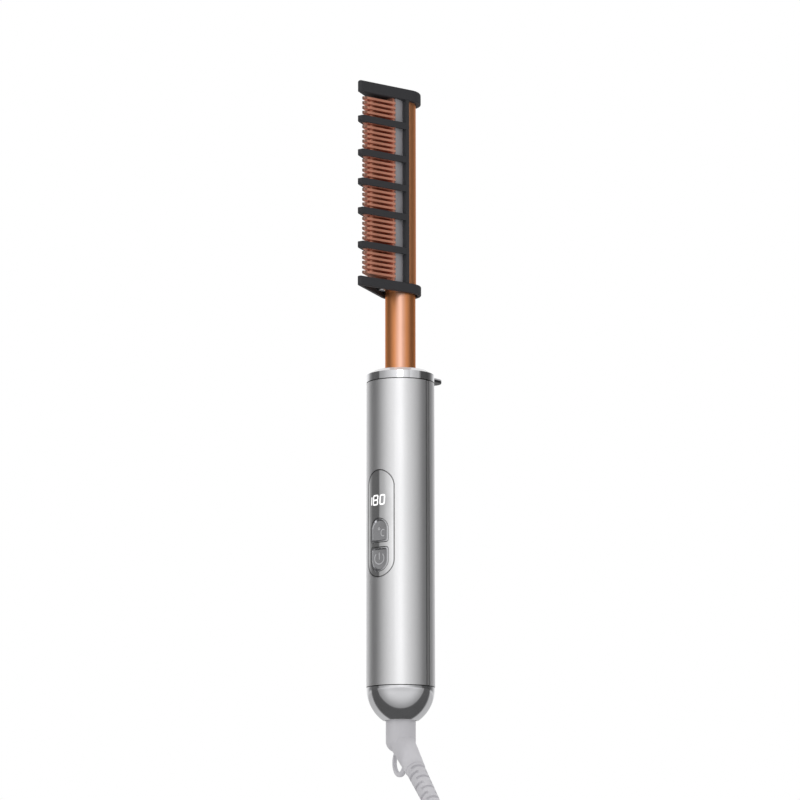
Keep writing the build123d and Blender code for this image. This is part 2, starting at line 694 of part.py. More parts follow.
def guard_top_cap():
    """The plate over the head's end, held by one screw."""
    cap = slab(teardrop(0, GUARD_TIP_RADIUS), CAP_BOTTOM, CAP_TOP)
    cap = fillet(cap.edges().group_by(Axis.Z)[-1], CAP_ROUND)
    cap = fillet(cap.edges().group_by(Axis.Z)[0], PLATE_ROUND)
    cap -= disc(SCREW_HEAD_RADIUS + CLEAR_GAP, cap_screw_seat(), CAP_TOP, 0, CAP_SCREW_Y)
    return cap - disc(SCREW_RADIUS + CLEAR_GAP, CAP_BOTTOM, CAP_TOP, 0, CAP_SCREW_Y)


def cap_screw_seat():
    """The height that the top screw's head sits at, sunk in the cap."""
    return CAP_TOP - SCREW_HEAD_HEIGHT - CAP_SCREW_SINK


def guard_base_plate():
    """The plate under the head: a rim round a floor that the barrel passes through."""
    plate = slab(teardrop(0, GUARD_TIP_RADIUS), BASE_BOTTOM, BASE_TOP)
    plate = fillet(plate.edges().group_by(Axis.Z)[0], PLATE_ROUND)
    plate = fillet(plate.edges().group_by(Axis.Z)[-1], PLATE_ROUND)
    plate -= slab(teardrop(BASE_RIM, BASE_NOSE), BASE_BOTTOM, BASE_TOP - BASE_FLOOR)
    plate -= disc(BARREL_RADIUS + CLEAR_GAP, BASE_BOTTOM, BASE_TOP)
    window = teardrop(BASE_WINDOW_INSET, BASE_NOSE)
    window &= Pos(0, -BASE_WINDOW_BACK - GUARD_REACH / 2) * Rectangle(2 * GUARD_REACH, GUARD_REACH)
    plate -= slab(window, BASE_BOTTOM, BASE_TOP)
    for side in (-1, 1):
        plate -= disc(SCREW_RADIUS + CLEAR_GAP, BASE_BOTTOM, BASE_TOP, side * BASE_SCREW_X, -BASE_SCREW_Y)
    return plate


def guard_screws():
    """One screw through the top cap and two up through the base plate, into the comb body."""
    seat = BASE_TOP - BASE_FLOOR
    lower = [screw(side * BASE_SCREW_X, -BASE_SCREW_Y, seat, down=False) for side in (-1, 1)]
    return [screw(0, CAP_SCREW_Y, cap_screw_seat())] + lower


# ---------------------------------------------------------------- heater
def heater_layer(start, thickness):
    """A flat layer of the heater stack, standing in the pocket."""
    front = -HEATER_FRONT
    return block(start, start + thickness, front, front + HEATER_WIDTH, HEATER_BOTTOM, HEATER_TOP - POCKET_GAP)


def heater_stack():
    """The stack from wall to wall: insulation, heater, insulation, spring."""
    at = pocket_x()[0] + POCKET_GAP / 2
    first = heater_layer(at, INSULATION_THICKNESS)
    at += INSULATION_THICKNESS
    heater = heater_layer(at, HEATER_THICKNESS)
    at += HEATER_THICKNESS
    second = heater_layer(at, INSULATION_THICKNESS)
    spring = heater_layer(at + INSULATION_THICKNESS, SPRING_THICKNESS)
    return heater, [first, second], spring


def heater_leads():
    """Two leads from the board up the barrel, the left one broken by the thermal fuse."""
    bottom = PCB_TOP - POST_MARGIN
    fuse_bottom = BODY_TOP + FUSE_ABOVE_BODY
    x, y = HEATER_LEAD_X, -HEATER_LEAD_Y
    return [
        disc(HEATER_LEAD_RADIUS, bottom, HEATER_BOTTOM, x, y),
        disc(HEATER_LEAD_RADIUS, bottom, fuse_bottom, -x, y),
        disc(HEATER_LEAD_RADIUS, fuse_bottom + FUSE_LENGTH, HEATER_BOTTOM, -x, y),
    ]


def thermal_fuse():
    bottom = BODY_TOP + FUSE_ABOVE_BODY
    return disc(FUSE_RADIUS, bottom, bottom + FUSE_LENGTH, -HEATER_LEAD_X, -HEATER_LEAD_Y)


def thermistor():
    return disc(SENSOR_RADIUS, HEATER_BOTTOM, HEATER_BOTTOM + SENSOR_LENGTH, SENSOR_X, -SENSOR_Y)


def thermistor_leads():
    bottom = PCB_TOP - POST_MARGIN
    return [
        disc(SENSOR_LEAD_RADIUS, bottom, HEATER_BOTTOM, SENSOR_X + side * SENSOR_LEAD_SPACING / 2, -SENSOR_Y)
        for side in (-1, 1)
    ]


# ---------------------------------------------------------------- end cap and swivel
def end_cap():
    """The domed cap: a sleeve inside the shells, a floor for the swivel and a round mouth."""
    mouth = BOOT_RADIUS + BOOT_GAP
    rim = mouth + CAP_LIP
    inner = SLEEVE_RADIUS - SLEEVE_WALL
    dome_top = BODY_BOTTOM - SEAM_HEIGHT
    dome = TangentArc((BODY_RADIUS, dome_top), (rim, CAP_RIM), tangent=(0, -1))
    walls = Polyline(
        (BODY_RADIUS, dome_top),
        (BODY_RADIUS - SEAM_DEPTH, dome_top),
        (BODY_RADIUS - SEAM_DEPTH, BODY_BOTTOM),
        (SLEEVE_RADIUS, BODY_BOTTOM),
        (SLEEVE_RADIUS, BODY_BOTTOM + SLEEVE_DEPTH),
        (inner, BODY_BOTTOM + SLEEVE_DEPTH),
        (inner, FLOOR_TOP),
        (NECK_RADIUS + NECK_GAP + BUSHING_WALL, FLOOR_TOP),
        (NECK_RADIUS + NECK_GAP + BUSHING_WALL, FLOOR_BOTTOM),
        (mouth, FLOOR_BOTTOM),
        (mouth, CAP_RIM),
        (rim, CAP_RIM),
    )
    return revolve(Plane.XZ * make_face([dome, walls]), Axis.Z)


def swivel_bushing():
    """The flanged bushing that the cord's neck turns in."""
    bore = NECK_RADIUS + NECK_GAP
    bushing = ring(bore + BUSHING_WALL - PRESS_GAP, bore, FLOOR_BOTTOM, FLOOR_TOP)
    return bushing + ring(BUSHING_FLANGE_RADIUS, bore, FLOOR_TOP, BUSHING_TOP)


def swivel_clip():
    """The ring that snaps into the neck's groove and holds the cord in."""
    return ring(CLIP_RADIUS, NECK_RADIUS - CLIP_GROOVE + PRESS_GAP, CLIP_BOTTOM, CLIP_BOTTOM + CLIP_THICKNESS)


def slip_rings():
    """The two contacts on the neck's end: a ring and a centre disc."""
    outer = ring(RING_OUTER_RADIUS, RING_INNER_RADIUS, NECK_TOP, RINGS_TOP)
    return [outer, disc(CENTRE_CONTACT_RADIUS, NECK_TOP, RINGS_TOP)]


def contact_plate():
    return disc(SLEEVE_RADIUS - SLEEVE_WALL - FACE_GAP, CONTACT_PLATE_BOTTOM, CONTACT_PLATE_TOP)


def contact_brushes():
    """Two spring brushes under the plate, one over each slip ring."""
    middle = (RING_OUTER_RADIUS + RING_INNER_RADIUS) / 2
    return [disc(BRUSH_RADIUS, BRUSH_BOTTOM, CONTACT_PLATE_BOTTOM, x, 0) for x in (0, middle)]


def mains_leads():
    """Two leads from the contact plate to the back of the board."""
    y = -PCB_BACK + MAINS_LEAD_RADIUS
    top = PCB_BOTTOM + MAINS_LEAD_OVERLAP
    return [disc(MAINS_LEAD_RADIUS, CONTACT_PLATE_TOP, top, x, y) for x in (-MAINS_LEAD_X, MAINS_LEAD_X)]


def upright_disc(radius, thickness, x, z):
    """A round plate standing upright in the plane that the relief leans in."""
    return extrude(Plane(origin=(x, 0, z), z_dir=(0, -1, 0)) * Circle(radius), thickness / 2, both=True)


def hanging_loop():
    """The flat ring under the boot, its hole off centre so that the wall is thicker below."""
    plate = upright_disc(LOOP_RADIUS, LOOP_THICKNESS, LOOP_X + LOOP_SHIFT_X, LOOP_CENTRE_Z - LOOP_SHIFT_Z)
    plate = fillet(plate.edges(), LOOP_ROUND)
    return plate - upright_disc(LOOP_HOLE_RADIUS, LOOP_THICKNESS, LOOP_X, LOOP_CENTRE_Z)


def cone(start, aim, radius, end_radius, length):
    """A round cone from start along aim."""
    near = Plane(origin=start, z_dir=aim) * Circle(radius)
    far = Plane(origin=start + aim * length, z_dir=aim) * Circle(end_radius)
    return loft([near, far])


def cord_boot():
    """The swivelling boot: neck, barrel, rounded end, the socket of the relief and the hanging loop."""
    boot = disc(NECK_RADIUS, BOOT_TOP, NECK_TOP)
    boot -= ring(2 * NECK_RADIUS, NECK_RADIUS - CLIP_GROOVE, CLIP_BOTTOM, CLIP_BOTTOM + CLIP_THICKNESS)
    barrel = disc(BOOT_RADIUS, BOOT_BOTTOM, BOOT_TOP)
    boot += fillet(barrel.edges().group_by(Axis.Z)[0], BOOT_ROUND)
    boot += cone(ELBOW, RELIEF_AIM, SOCKET_START_RADIUS, SOCKET_END_RADIUS, SOCKET_LENGTH)
    return swung(boot + hanging_loop())


def strain_relief():
    """The ribbed sleeve on the cord, tapering to its end."""
    sleeve = cone(RELIEF_START, RELIEF_AIM, RELIEF_START_RADIUS, RELIEF_END_RADIUS, RELIEF_LENGTH)
    count = int((RELIEF_LENGTH - RELIEF_PITCH) / RELIEF_PITCH)
    for number in range(count):
        at = RELIEF_PITCH * (number + 1) - RELIEF_GROOVE_WIDTH
        radius = RELIEF_START_RADIUS + (RELIEF_END_RADIUS - RELIEF_START_RADIUS) * at / RELIEF_LENGTH
        groove = Circle(2 * RELIEF_START_RADIUS) - Circle(radius - RELIEF_GROOVE_DEPTH)
        sleeve -= along(RELIEF_START + RELIEF_AIM * at, RELIEF_AIM, groove, RELIEF_GROOVE_WIDTH)
    return swung(sleeve)


# ---------------------------------------------------------------- cord, hank and plug
def hank_outline(width):
    """The hank from one side: two rounded lobes, drawn in at the waist by the tie."""
    half = HANK_LENGTH / 2
    lobe = width / 2
    waist = HANK_WAIST / 2
    side = [
        (waist, TIE_HEIGHT / 2 + HANK_ROUND / 3),
        (lobe, half - lobe),
        (lobe, half - HANK_ROUND / 2),
        (lobe - HANK_ROUND / 2, half),
    ]
    upper = side + [(-x, y) for x, y in reversed(side)]
    lower = [(-x, -y) for x, y in upper]
    return make_face(Polyline(*upper, *lower, close=True))


def cord_hank():
    """The folded hank of spare cord, as one closed form: its two side views, crossed."""
    middle = (HANK_TOP + HANK_BOTTOM) / 2
    reach = max(HANK_WIDTH, HANK_DEPTH)
    across = Plane(origin=(HANK_X, 0, middle), x_dir=(0, 1, 0), z_dir=(1, 0, 0))
    along_depth = Plane(origin=(HANK_X, 0, middle), x_dir=(1, 0, 0), z_dir=(0, -1, 0))
    hank = extrude(across * hank_outline(HANK_WIDTH), reach, both=True)
    return swung(hank & extrude(along_depth * hank_outline(HANK_DEPTH), reach, both=True))


def cord_tie():
    """The band round the hank's waist."""
    middle = (HANK_TOP + HANK_BOTTOM) / 2
    size = HANK_WAIST + 2 * TIE_GAP
    outer = size + 2 * TIE_THICKNESS
    band = RectangleRounded(outer, outer, 2 * TIE_THICKNESS) - Rectangle(size, size)
    return swung(Pos(HANK_X, 0, 0) * slab(band, middle - TIE_HEIGHT / 2, middle + TIE_HEIGHT / 2))


def plug_place():
    """Where the plug's axis stands, turned with the swivel but square to X and Y."""
    end = Vector(LEAD_ROUTE[-1][0], LEAD_ROUTE[-1][1], 0).rotate(Axis.Z, SWIVEL_YAW)
    return Pos(end.X, end.Y, 0)


def plug_body():
    """A flat two-pin mains plug, pins downwards, with a tapered neck for the cord."""
    full = RectangleRounded(PLUG_WIDTH, PLUG_DEPTH, PLUG_DEPTH / 3)
    narrow = RectangleRounded(PLUG_WIDTH * 0.45, PLUG_DEPTH * 0.85, PLUG_DEPTH / 3)
    body = slab(full, PLUG_BOTTOM, PLUG_BOTTOM + PLUG_LENGTH - PLUG_SHOULDER)
    low = Plane(origin=(0, 0, PLUG_BOTTOM + PLUG_LENGTH - PLUG_SHOULDER)) * full
    high = Plane(origin=(0, 0, PLUG_BOTTOM + PLUG_LENGTH)) * narrow
    body += loft([low, high])
    top = Vector(0, 0, PLUG_TOP)
    body += cone(top, Vector(0, 0, -1), PLUG_NECK_RADIUS * 0.8, PLUG_NECK_RADIUS, PLUG_NECK_LENGTH)
    return plug_place() * body


def plug_pins():
    pins = []
    for side in (-1, 1):
        pin = disc(PIN_RADIUS, PLUG_BOTTOM - PIN_LENGTH, PLUG_BOTTOM, side * PIN_SPACING / 2)
        pins.append(plug_place() * fillet(pin.edges().group_by(Axis.Z)[0], PIN_RADIUS / 2))
    return pins


# ---------------------------------------------------------------- the whole object
def all_pieces():
    """Every node by name, each a shape or a list of separate shapes."""
    heater, insulation, spring = heater_stack()
    upper = button_centre(UPPER_FLAT, True)
    lower = button_centre(LOWER_FLAT, False)
    return {
        "front_shell": front_shell(),
        "back_shell": back_shell(),
        "side_trim_left": side_trim(-1),
        "side_trim_right": side_trim(1),
        "collar_ring": collar_ring(),
        "rest_foot": rest_foot(),
        "control_panel": control_panel(),
        "temperature_button": button(UPPER_FLAT, True),
        "power_button": button(LOWER_FLAT, False),
        "tact_switches": [tact_switch(upper), tact_switch(lower)],
        "display_module": display_module(),
        "main_board": main_board(),
        "board_screws": board_screws(),
        "triac": triac(),
        "capacitor": capacitor(),
        "barrel_bush": barrel_bush(),
        "barrel_tube": barrel_tube(),
        "comb_body": comb_body(),
        "side_strip_left": side_strip(-1),
        "side_strip_right": side_strip(1),
        "guard_base_plate": guard_base_plate(),
        "guard_top_cap": guard_top_cap(),
        "guard_rail_left": guard_rail(-1),
        "guard_rail_right": guard_rail(1),
        "guard_ribs": [guard_rib(place) for place in RIB_PLACES],
        "guard_screws": guard_screws(),
        "heater_plate": heater,
        "heater_insulation": insulation,
        "heater_spring": spring,
        "heater_leads": heater_leads(),
        "thermal_fuse": thermal_fuse(),
        "thermistor": thermistor(),
        "thermistor_leads": thermistor_leads(),
        "end_cap": end_cap(),
        "swivel_bushing": swivel_bushing(),
        "contact_plate": contact_plate(),
        "contact_brushes": contact_brushes(),
        "mains_leads": mains_leads(),
        "slip_rings": slip_rings(),
        "swivel_clip": swivel_clip(),
        "cord_boot": cord_boot(),
        "strain_relief": strain_relief(),
        "power_cord": swung(tube(CORD_ROUTE, CORD_DIAMETER)),
        "cord_hank": cord_hank(),
        "cord_tie": cord_tie(),
        "plug_lead": swung(tube(LEAD_ROUTE, CORD_DIAMETER)),
        "plug_body": plug_body(),
        "plug_pins": plug_pins(),
    }


def write_parts():
    """One STEP file for each node."""
    os.makedirs("parts", exist_ok=True)
    for name, shape in all_pieces().items():
        piece = Compound(children=[*shape]) if isinstance(shape, list) else shape
        export_step(piece, f"parts/{name}.step")


if __name__ == "__main__":
    write_parts()
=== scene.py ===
"""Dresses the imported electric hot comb: surfaces, finishes, cord, lights and camera.

The frame is in metres, +Z runs up the handle to the comb head, and the teeth and the
keys face -Y. Sizes in this file are in millimetres and become metres when a mesh is made.
The cord's boot, relief, hank and plug have a frame of their own, turned about Z, in
which X is the side that the relief leans to.
"""

import json
import logging
import math
from dataclasses import dataclass, field
from enum import Enum
from typing import Any, Sequence

import bmesh
import bpy
import numpy as np
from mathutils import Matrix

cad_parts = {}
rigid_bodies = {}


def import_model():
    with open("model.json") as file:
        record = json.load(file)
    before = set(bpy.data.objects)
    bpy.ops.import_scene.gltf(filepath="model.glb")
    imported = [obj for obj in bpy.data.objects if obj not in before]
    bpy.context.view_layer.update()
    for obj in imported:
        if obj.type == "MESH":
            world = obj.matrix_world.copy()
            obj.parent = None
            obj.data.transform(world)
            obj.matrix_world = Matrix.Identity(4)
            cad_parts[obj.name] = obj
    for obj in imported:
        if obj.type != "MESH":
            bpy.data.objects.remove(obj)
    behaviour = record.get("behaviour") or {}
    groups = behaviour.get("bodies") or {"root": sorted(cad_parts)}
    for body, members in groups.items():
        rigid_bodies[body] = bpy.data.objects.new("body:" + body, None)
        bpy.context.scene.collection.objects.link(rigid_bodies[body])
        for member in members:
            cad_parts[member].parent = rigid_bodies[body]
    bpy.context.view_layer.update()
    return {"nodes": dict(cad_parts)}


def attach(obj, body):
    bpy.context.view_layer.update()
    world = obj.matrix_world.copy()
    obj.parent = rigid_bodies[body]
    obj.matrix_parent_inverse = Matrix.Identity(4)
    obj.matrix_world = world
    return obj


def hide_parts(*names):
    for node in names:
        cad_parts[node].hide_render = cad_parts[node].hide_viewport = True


LOG = logging.getLogger("hot_comb")
MM = 0.001
Array = np.ndarray
Colour = tuple[float, float, float]


# ---------------------------------------------------------------- surfaces
def rise(value: Array | float, low: float, high: float) -> Array:
    """A smooth step: 3 t^2 - 2 t^3, where t runs from 0 at low to 1 at high.

    Args:
        value: The numbers to step.
        low: Where the step starts.
        high: Where it ends.

    Returns:
        The steps, from 0 to 1.
    """
    part = np.clip((np.asarray(value, float) - low) / (high - low), 0.0, 1.0)
    return part * part * (3.0 - 2.0 * part)


def rounded(turn: Array, power: float) -> tuple[Array, Array]:
    """A superellipse: the signed powers 2/p of the cosine and the sine of the turn.

    Args:
        turn: Angles round the outline, in radians.
        power: 2 gives a circle, and more gives a squarer outline.

    Returns:
        The outline's two coordinates, each from -1 to 1.
    """
    cosine, sine = np.cos(turn), np.sin(turn)
    step = 2.0 / power
    return np.sign(cosine) * np.abs(cosine) ** step, np.sign(sine) * np.abs(sine) ** step


def quads(rows: int, columns: int, closed: bool) -> Array:
    """The corner numbers of every face of a grid, as (face, 4).

    Args:
        rows: Grid points along the first parameter.
        columns: Grid points along the second one.
        closed: Whether the last column joins the first.

    Returns:
        The faces' corners, row by row.
    """
    across = columns if closed else columns - 1
    row, column = np.meshgrid(np.arange(rows - 1), np.arange(across), indexing="ij")
    after = (column + 1) % columns
    corners = (row * columns + column, row * columns + after,
               (row + 1) * columns + after, (row + 1) * columns + column)
    return np.stack(corners, -1).reshape(-1, 4)


class Shape:
    """Gathers grids of points, in millimetres, into one mesh."""

    def __init__(self) -> None:
        """Starts with no points."""
        self.points: list[Array] = []
        self.faces: list[Array] = []
        self.count = 0

    def grid(self, surface: Array, closed: bool = True) -> "Shape":
        """Adds a surface given as a grid of points.

        Args:
            surface: The points, as (rows, columns, 3).
            closed: Whether the last column joins the first.

        Returns:
            The shape itself, so that calls can follow each other.
        """
        rows, columns = surface.shape[:2]
        self.faces.append(quads(rows, columns, closed) + self.count)
        self.points.append(surface.reshape(-1, 3))
        self.count += rows * columns
        return self

    def piece(self, name: str, sharp: float = 35.0) -> bpy.types.Object:
        """Makes the object: doubles merged, faces outwards, smooth up to an angle.

        Args:
            name: The piece's name.
            sharp: Edges that bend more than this many degrees stay sharp.

        Returns:
            The new object, at the origin.
        """
        mesh = bpy.data.meshes.new(name)
        points = np.concatenate(self.points) * MM
        faces = np.concatenate(self.faces)
        mesh.from_pydata(points.tolist(), [], faces.tolist())
        work = bmesh.new()
        work.from_mesh(mesh)
        bmesh.ops.remove_doubles(work, verts=work.verts, dist=1e-7)
        bmesh.ops.recalc_face_normals(work, faces=work.faces)
        work.to_mesh(mesh)
        work.free()
        mesh.shade_smooth()
        mesh.set_sharp_from_angle(angle=math.radians(sharp))
        made = bpy.data.objects.new(name, mesh)
        bpy.context.scene.collection.objects.link(made)
        return made


def ribbon(line: Array, width: float, bulge: float, loop: bool = False) -> Array:
    """A flat stroke along a line in the (x, z) plane, with its height as third coordinate.

    Across the stroke v runs from -1 to 1: the point is the line's point plus v times half
    the width along the line's left normal, and its height is bulge times 1 - v^2. An open
    stroke's half width follows a quarter circle at both ends.

    Args:
        line: The middle line, as (points, 2).
        width: The stroke's width.
        bulge: How far its middle stands proud.
        loop: Whether the line closes on itself.

    Returns:
        A grid (points, 7, 3) of x, z and height.
    """
    if loop:
        heading = np.roll(line, -1, axis=0) - np.roll(line, 1, axis=0)
    else:
        heading = np.gradient(line, axis=0)
    heading /= np.linalg.norm(heading, axis=1, keepdims=True)
    normal = np.stack([-heading[:, 1], heading[:, 0]], -1)
    steps = np.linalg.norm(np.diff(line, axis=0), axis=1)
    at = np.concatenate([[0.0], np.cumsum(steps)])
    half = np.full(len(line), width / 2)
    if not loop:
        near = np.clip(1.0 - np.minimum(at, at[-1] - at) / (width / 2), 0.0, 1.0)
        half = half * np.sqrt(1.0 - near**2)
    across = np.linspace(-1.0, 1.0, 7)
    flat = line[:, None, :] + (across[None, :, None] * half[:, None, None]) * normal[:, None, :]
    height = np.broadcast_to(bulge * (1.0 - across**2), flat.shape[:2])
    made = np.concatenate([flat, height[..., None]], -1)
    return np.concatenate([made, made[:1]]) if loop else made


# ---------------------------------------------------------------- shader nodes
@dataclass(frozen=True)
class Value:
    """A number in a shader: arithmetic on it adds Math nodes."""

    bench: "Bench"
    socket: bpy.types.NodeSocket

    def maths(self, operation: str, other: Any = 0.0, flip: bool = False) -> "Value":
        """Adds one Math node.

        Args:
            operation: Blender's name of the operation.
            other: The second value, a number or a Value.
            flip: Whether the second value comes first.

        Returns:
            The node's result.
        """
        first, second = (other, self) if flip else (self, other)
        node = self.bench.node("ShaderNodeMath", {"operation": operation}, {0: first, 1: second})
        return Value(self.bench, node.outputs[0])

    def __add__(self, other: Any) -> "Value":
        """self + other."""
        return self.maths("ADD", other)

    def __radd__(self, other: Any) -> "Value":
        """other + self."""
        return self.maths("ADD", other, True)

    def __sub__(self, other: Any) -> "Value":
        """self - other."""
        return self.maths("SUBTRACT", other)

    def __rsub__(self, other: Any) -> "Value":
        """other - self."""
        return self.maths("SUBTRACT", other, True)

    def __mul__(self, other: Any) -> "Value":
        """self * other."""
        return self.maths("MULTIPLY", other)

    def __rmul__(self, other: Any) -> "Value":
        """other * self."""
        return self.maths("MULTIPLY", other, True)

    def __truediv__(self, other: Any) -> "Value":
        """self / other."""
        return self.maths("DIVIDE", other)

    def __rtruediv__(self, other: Any) -> "Value":
        """other / self."""
        return self.maths("DIVIDE", other, True)

    def __pow__(self, other: Any) -> "Value":
        """self to the power of other."""
        return self.maths("POWER", other)

    def __abs__(self) -> "Value":
        """The size without the sign."""
        return self.maths("ABSOLUTE")

    def root(self) -> "Value":
        """The square root."""
        return self.maths("SQRT")

    def wave(self, period: float) -> "Value":
        """A triangle from 0 to 0.5 that repeats every period."""
        return abs(self.maths("PINGPONG", period / 2)) / period

    def rise(self, low: float, high: float) -> "Value":
        """A smooth step from 0 at low to 1 at high."""
        node = self.bench.node(
            "ShaderNodeMapRange", {"interpolation_type": "SMOOTHSTEP"},
            {"Value": self, "From Min": low, "From Max": high, "To Min": 0.0, "To Max": 1.0})
        return Value(self.bench, node.outputs[0])


class Bench:
    """Builds the nodes of one material or world."""

    def __init__(self, tree: bpy.types.NodeTree) -> None:
        """Empties the tree.

        Args:
            tree: The node tree to build in.
        """
        self.tree = tree
        self.tree.nodes.clear()

    def node(self, kind: str, settings: dict[str, Any] | None = None,
             inputs: dict[Any, Any] | None = None) -> bpy.types.Node:
        """Adds a node.

        Args:
            kind: The node's type name.
            settings: Its own settings, set first. "stops" fills a colour ramp.
            inputs: Values or links of its sockets, by name or number.

        Returns:
            The new node.
        """
        made = self.tree.nodes.new(kind)
        for key, setting in (settings or {}).items():
            if key == "stops":
                self.stops(made.color_ramp, setting)
            else:
                setattr(made, key, setting)
        for key, given in (inputs or {}).items():
            if isinstance(given, Value):
                given = given.socket
            if isinstance(given, bpy.types.NodeSocket):
                self.tree.links.new(given, made.inputs[key])
            else:
                made.inputs[key].default_value = given
        return made

    @staticmethod
    def stops(ramp: bpy.types.ColorRamp, wanted: Sequence[tuple[float, float]]) -> None:
        """Sets a grey ramp's stops, given as (place, grey) in rising order."""
        while len(ramp.elements) < len(wanted):
            ramp.elements.new(1.0)
        for element, (place, grey) in zip(ramp.elements, wanted):
            element.position = place
            element.color = (grey, grey, grey, 1.0)

    def place(self) -> bpy.types.NodeSocket:
        """The point on the surface, in the piece's own coordinates, in metres."""
        return self.node("ShaderNodeTexCoord").outputs["Object"]

    def parts(self) -> tuple[Value, Value, Value]:
        """The point's X, Y and Z in millimetres.

        Returns:
            The three numbers.
        """
        split = self.node("ShaderNodeSeparateXYZ", None, {0: self.place()})
        x, y, z = (Value(self, split.outputs[i]) * 1000.0 for i in range(3))
        return x, y, z

    def noise(self, size: float, detail: float = 2.0, stretch: Colour = (1.0, 1.0, 1.0)) -> Value:
        """Soft noise whose blotches are about size millimetres wide.

        Args:
            size: The blotches' width in millimetres.
            detail: How many finer layers are added.
            stretch: How much longer the blotches are along X, Y and Z.

        Returns:
            The noise, about 0.3 to 0.7 around 0.5.
        """
        squeeze = tuple(1.0 / s for s in stretch)
        spot = self.node("ShaderNodeMapping", None, {"Vector": self.place(), "Scale": squeeze})
        node = self.node("ShaderNodeTexNoise", None,
                         {"Vector": spot.outputs[0], "Scale": 1000.0 / size, "Detail": detail})
        return Value(self, node.outputs[0])

    def cells(self, size: float) -> Value:
        """The distance to the nearest of scattered points, size millimetres apart."""
        node = self.node("ShaderNodeTexVoronoi", None,
                         {"Vector": self.place(), "Scale": 1000.0 / size})
        return Value(self, node.outputs["Distance"])

    def blend(self, share: Any, first: Any, second: Any) -> bpy.types.NodeSocket:
        """Mixes two colours.

        Args:
            share: How much of the second shows, from 0 to 1.
            first: A colour or a colour link.
            second: A colour or a colour link.

        Returns:
            The mixed colour.
        """
        ready = [(*c, 1.0) if isinstance(c, tuple) else c for c in (first, second)]
        node = self.node("ShaderNodeMix", {"data_type": "RGBA"},
                         {0: share, 6: ready[0], 7: ready[1]})
        return node.outputs[2]

    def dot(self, way: Any, direction: Sequence[float]) -> Value:
        """How far a link's vector runs along a fixed direction."""
        node = self.node("ShaderNodeVectorMath", {"operation": "DOT_PRODUCT"},
                         {0: way, 1: tuple(direction)})
        return Value(self, node.outputs["Value"])

    def relief(self, height: Value, depth: float) -> bpy.types.NodeSocket:
        """A normal bent by a height from 0 to 1 that stands for depth millimetres."""
        node = self.node("ShaderNodeBump", None, {"Height": height, "Distance": depth * MM})
        return node.outputs[0]

    def finish(self, inputs: dict[str, Any]) -> None:
        """Ends a material in one Principled shader with the given sockets.

        Args:
            inputs: Values and links by socket name. A tuple is a colour.
        """
        ready = {key: (*given, 1.0) if isinstance(given, tuple) else given
                 for key, given in inputs.items()}
        shader = self.node("ShaderNodeBsdfPrincipled", None, ready)
        self.node("ShaderNodeOutputMaterial", None, {"Surface": shader.outputs[0]})


# ---------------------------------------------------------------- finishes
@dataclass(frozen=True)
class Finish:
    """A finish by name. Each kind fills in its own nodes."""

    name: str
    colour: Colour

    def material(self) -> bpy.types.Material:
        """The Blender material, made once.

        Returns:
            The material.
        """
        found = bpy.data.materials.get(self.name)
        if found:
            return found
        made = bpy.data.materials.new(self.name)
        made.use_nodes = True
        self.nodes(Bench(made.node_tree))
        return made

    def nodes(self, bench: Bench) -> None:
        """Fills in the nodes.

        Args:
            bench: Where they are built.
        """
        raise NotImplementedError

    def times(self, share: float) -> Colour:
        """The colour, darkened by a factor."""
        return tuple(c * share for c in self.colour)


@dataclass(frozen=True)
class MetalPaint(Finish):
    """Metallic paint: fine flakes, a faint orange peel and hand smudges."""

    roughness: float = 0.4
    flake: float = 0.06
    peel: float = 0.004

    def painted(self, bench: Bench, flakes: Value) -> bpy.types.NodeSocket:
        """The paint's colour, darker between the flakes."""
        return bench.blend(flakes.rise(0.35, 0.65), self.times(1.0 - self.flake), self.colour)

    def nodes(self, bench: Bench) -> None:
        """Flakes vary the colour, smudges the roughness, peel the surface.

        Args:
            bench: Where the nodes are built.
        """
        flakes = bench.noise(0.16, 1.0)
        smudge = bench.noise(26.0, 3.0, (1.0, 1.0, 2.2))
        peel = bench.noise(0.9, 1.0)
        bench.finish({
            "Base Color": self.painted(bench, flakes),
            "Metallic": 1.0,
            "Roughness": (smudge - 0.5) * 0.1 + flakes * 0.04 + (self.roughness - 0.02),
            "Normal": bench.relief(peel, self.peel),
        })


@dataclass(frozen=True)
class TrimPaint(MetalPaint):
    """Metallic paint with painted shade along both edges of a side strip, for the grooves that
    flank it.
    """

    half: float = 1.5
    edge: float = 0.35
    blur: float = 0.1
    # The colour of the painted shade along the strip's edges.
    painted_shade: Colour = (0.12, 0.12, 0.12)

    def painted(self, bench: Bench, flakes: Value) -> bpy.types.NodeSocket:
        """Adds the painted shade along the edges, by the distance from the strip's middle.

        Args:
            bench: Where the nodes are built.
            flakes: The flakes' noise.

        Returns:
            The colour link.
        """
        _, y, _ = bench.parts()
        inner = self.half - self.edge
        share = abs(y).rise(inner - self.blur, inner)
        # Painted shade along both edges of the strip.
        return bench.blend(share * 0.6, super().painted(bench, flakes), self.painted_shade)


@dataclass(frozen=True)
class Polish(Finish):
    """Polished or plated metal with faint wiping marks."""

    roughness: float = 0.08
    wipe: float = 0.05
    grain: Colour = (1.0, 1.0, 8.0)

    def plated(self, bench: Bench, smudge: Value) -> bpy.types.NodeSocket:
        """The colour, a little duller under the smudges."""
        return bench.blend(smudge.rise(0.35, 0.7), self.colour, self.times(0.9))

    def metal(self, bench: Bench) -> Any:
        """How much of the surface mirrors as metal."""
        return 1.0

    def nodes(self, bench: Bench) -> None:
        """Long fine marks and broad smudges vary the roughness.

        Args:
            bench: Where the nodes are built.
        """
        marks = bench.noise(0.5, 2.0, self.grain)
        smudge = bench.noise(9.0, 2.0)
        dull = (marks.rise(0.45, 0.75) + smudge.rise(0.4, 0.7)) * (self.wipe / 2)
        bench.finish({
            "Base Color": self.plated(bench, smudge),
            "Metallic": self.metal(bench),
            "Roughness": dull + self.roughness,
            "Normal": bench.relief(marks, 0.0008),
        })


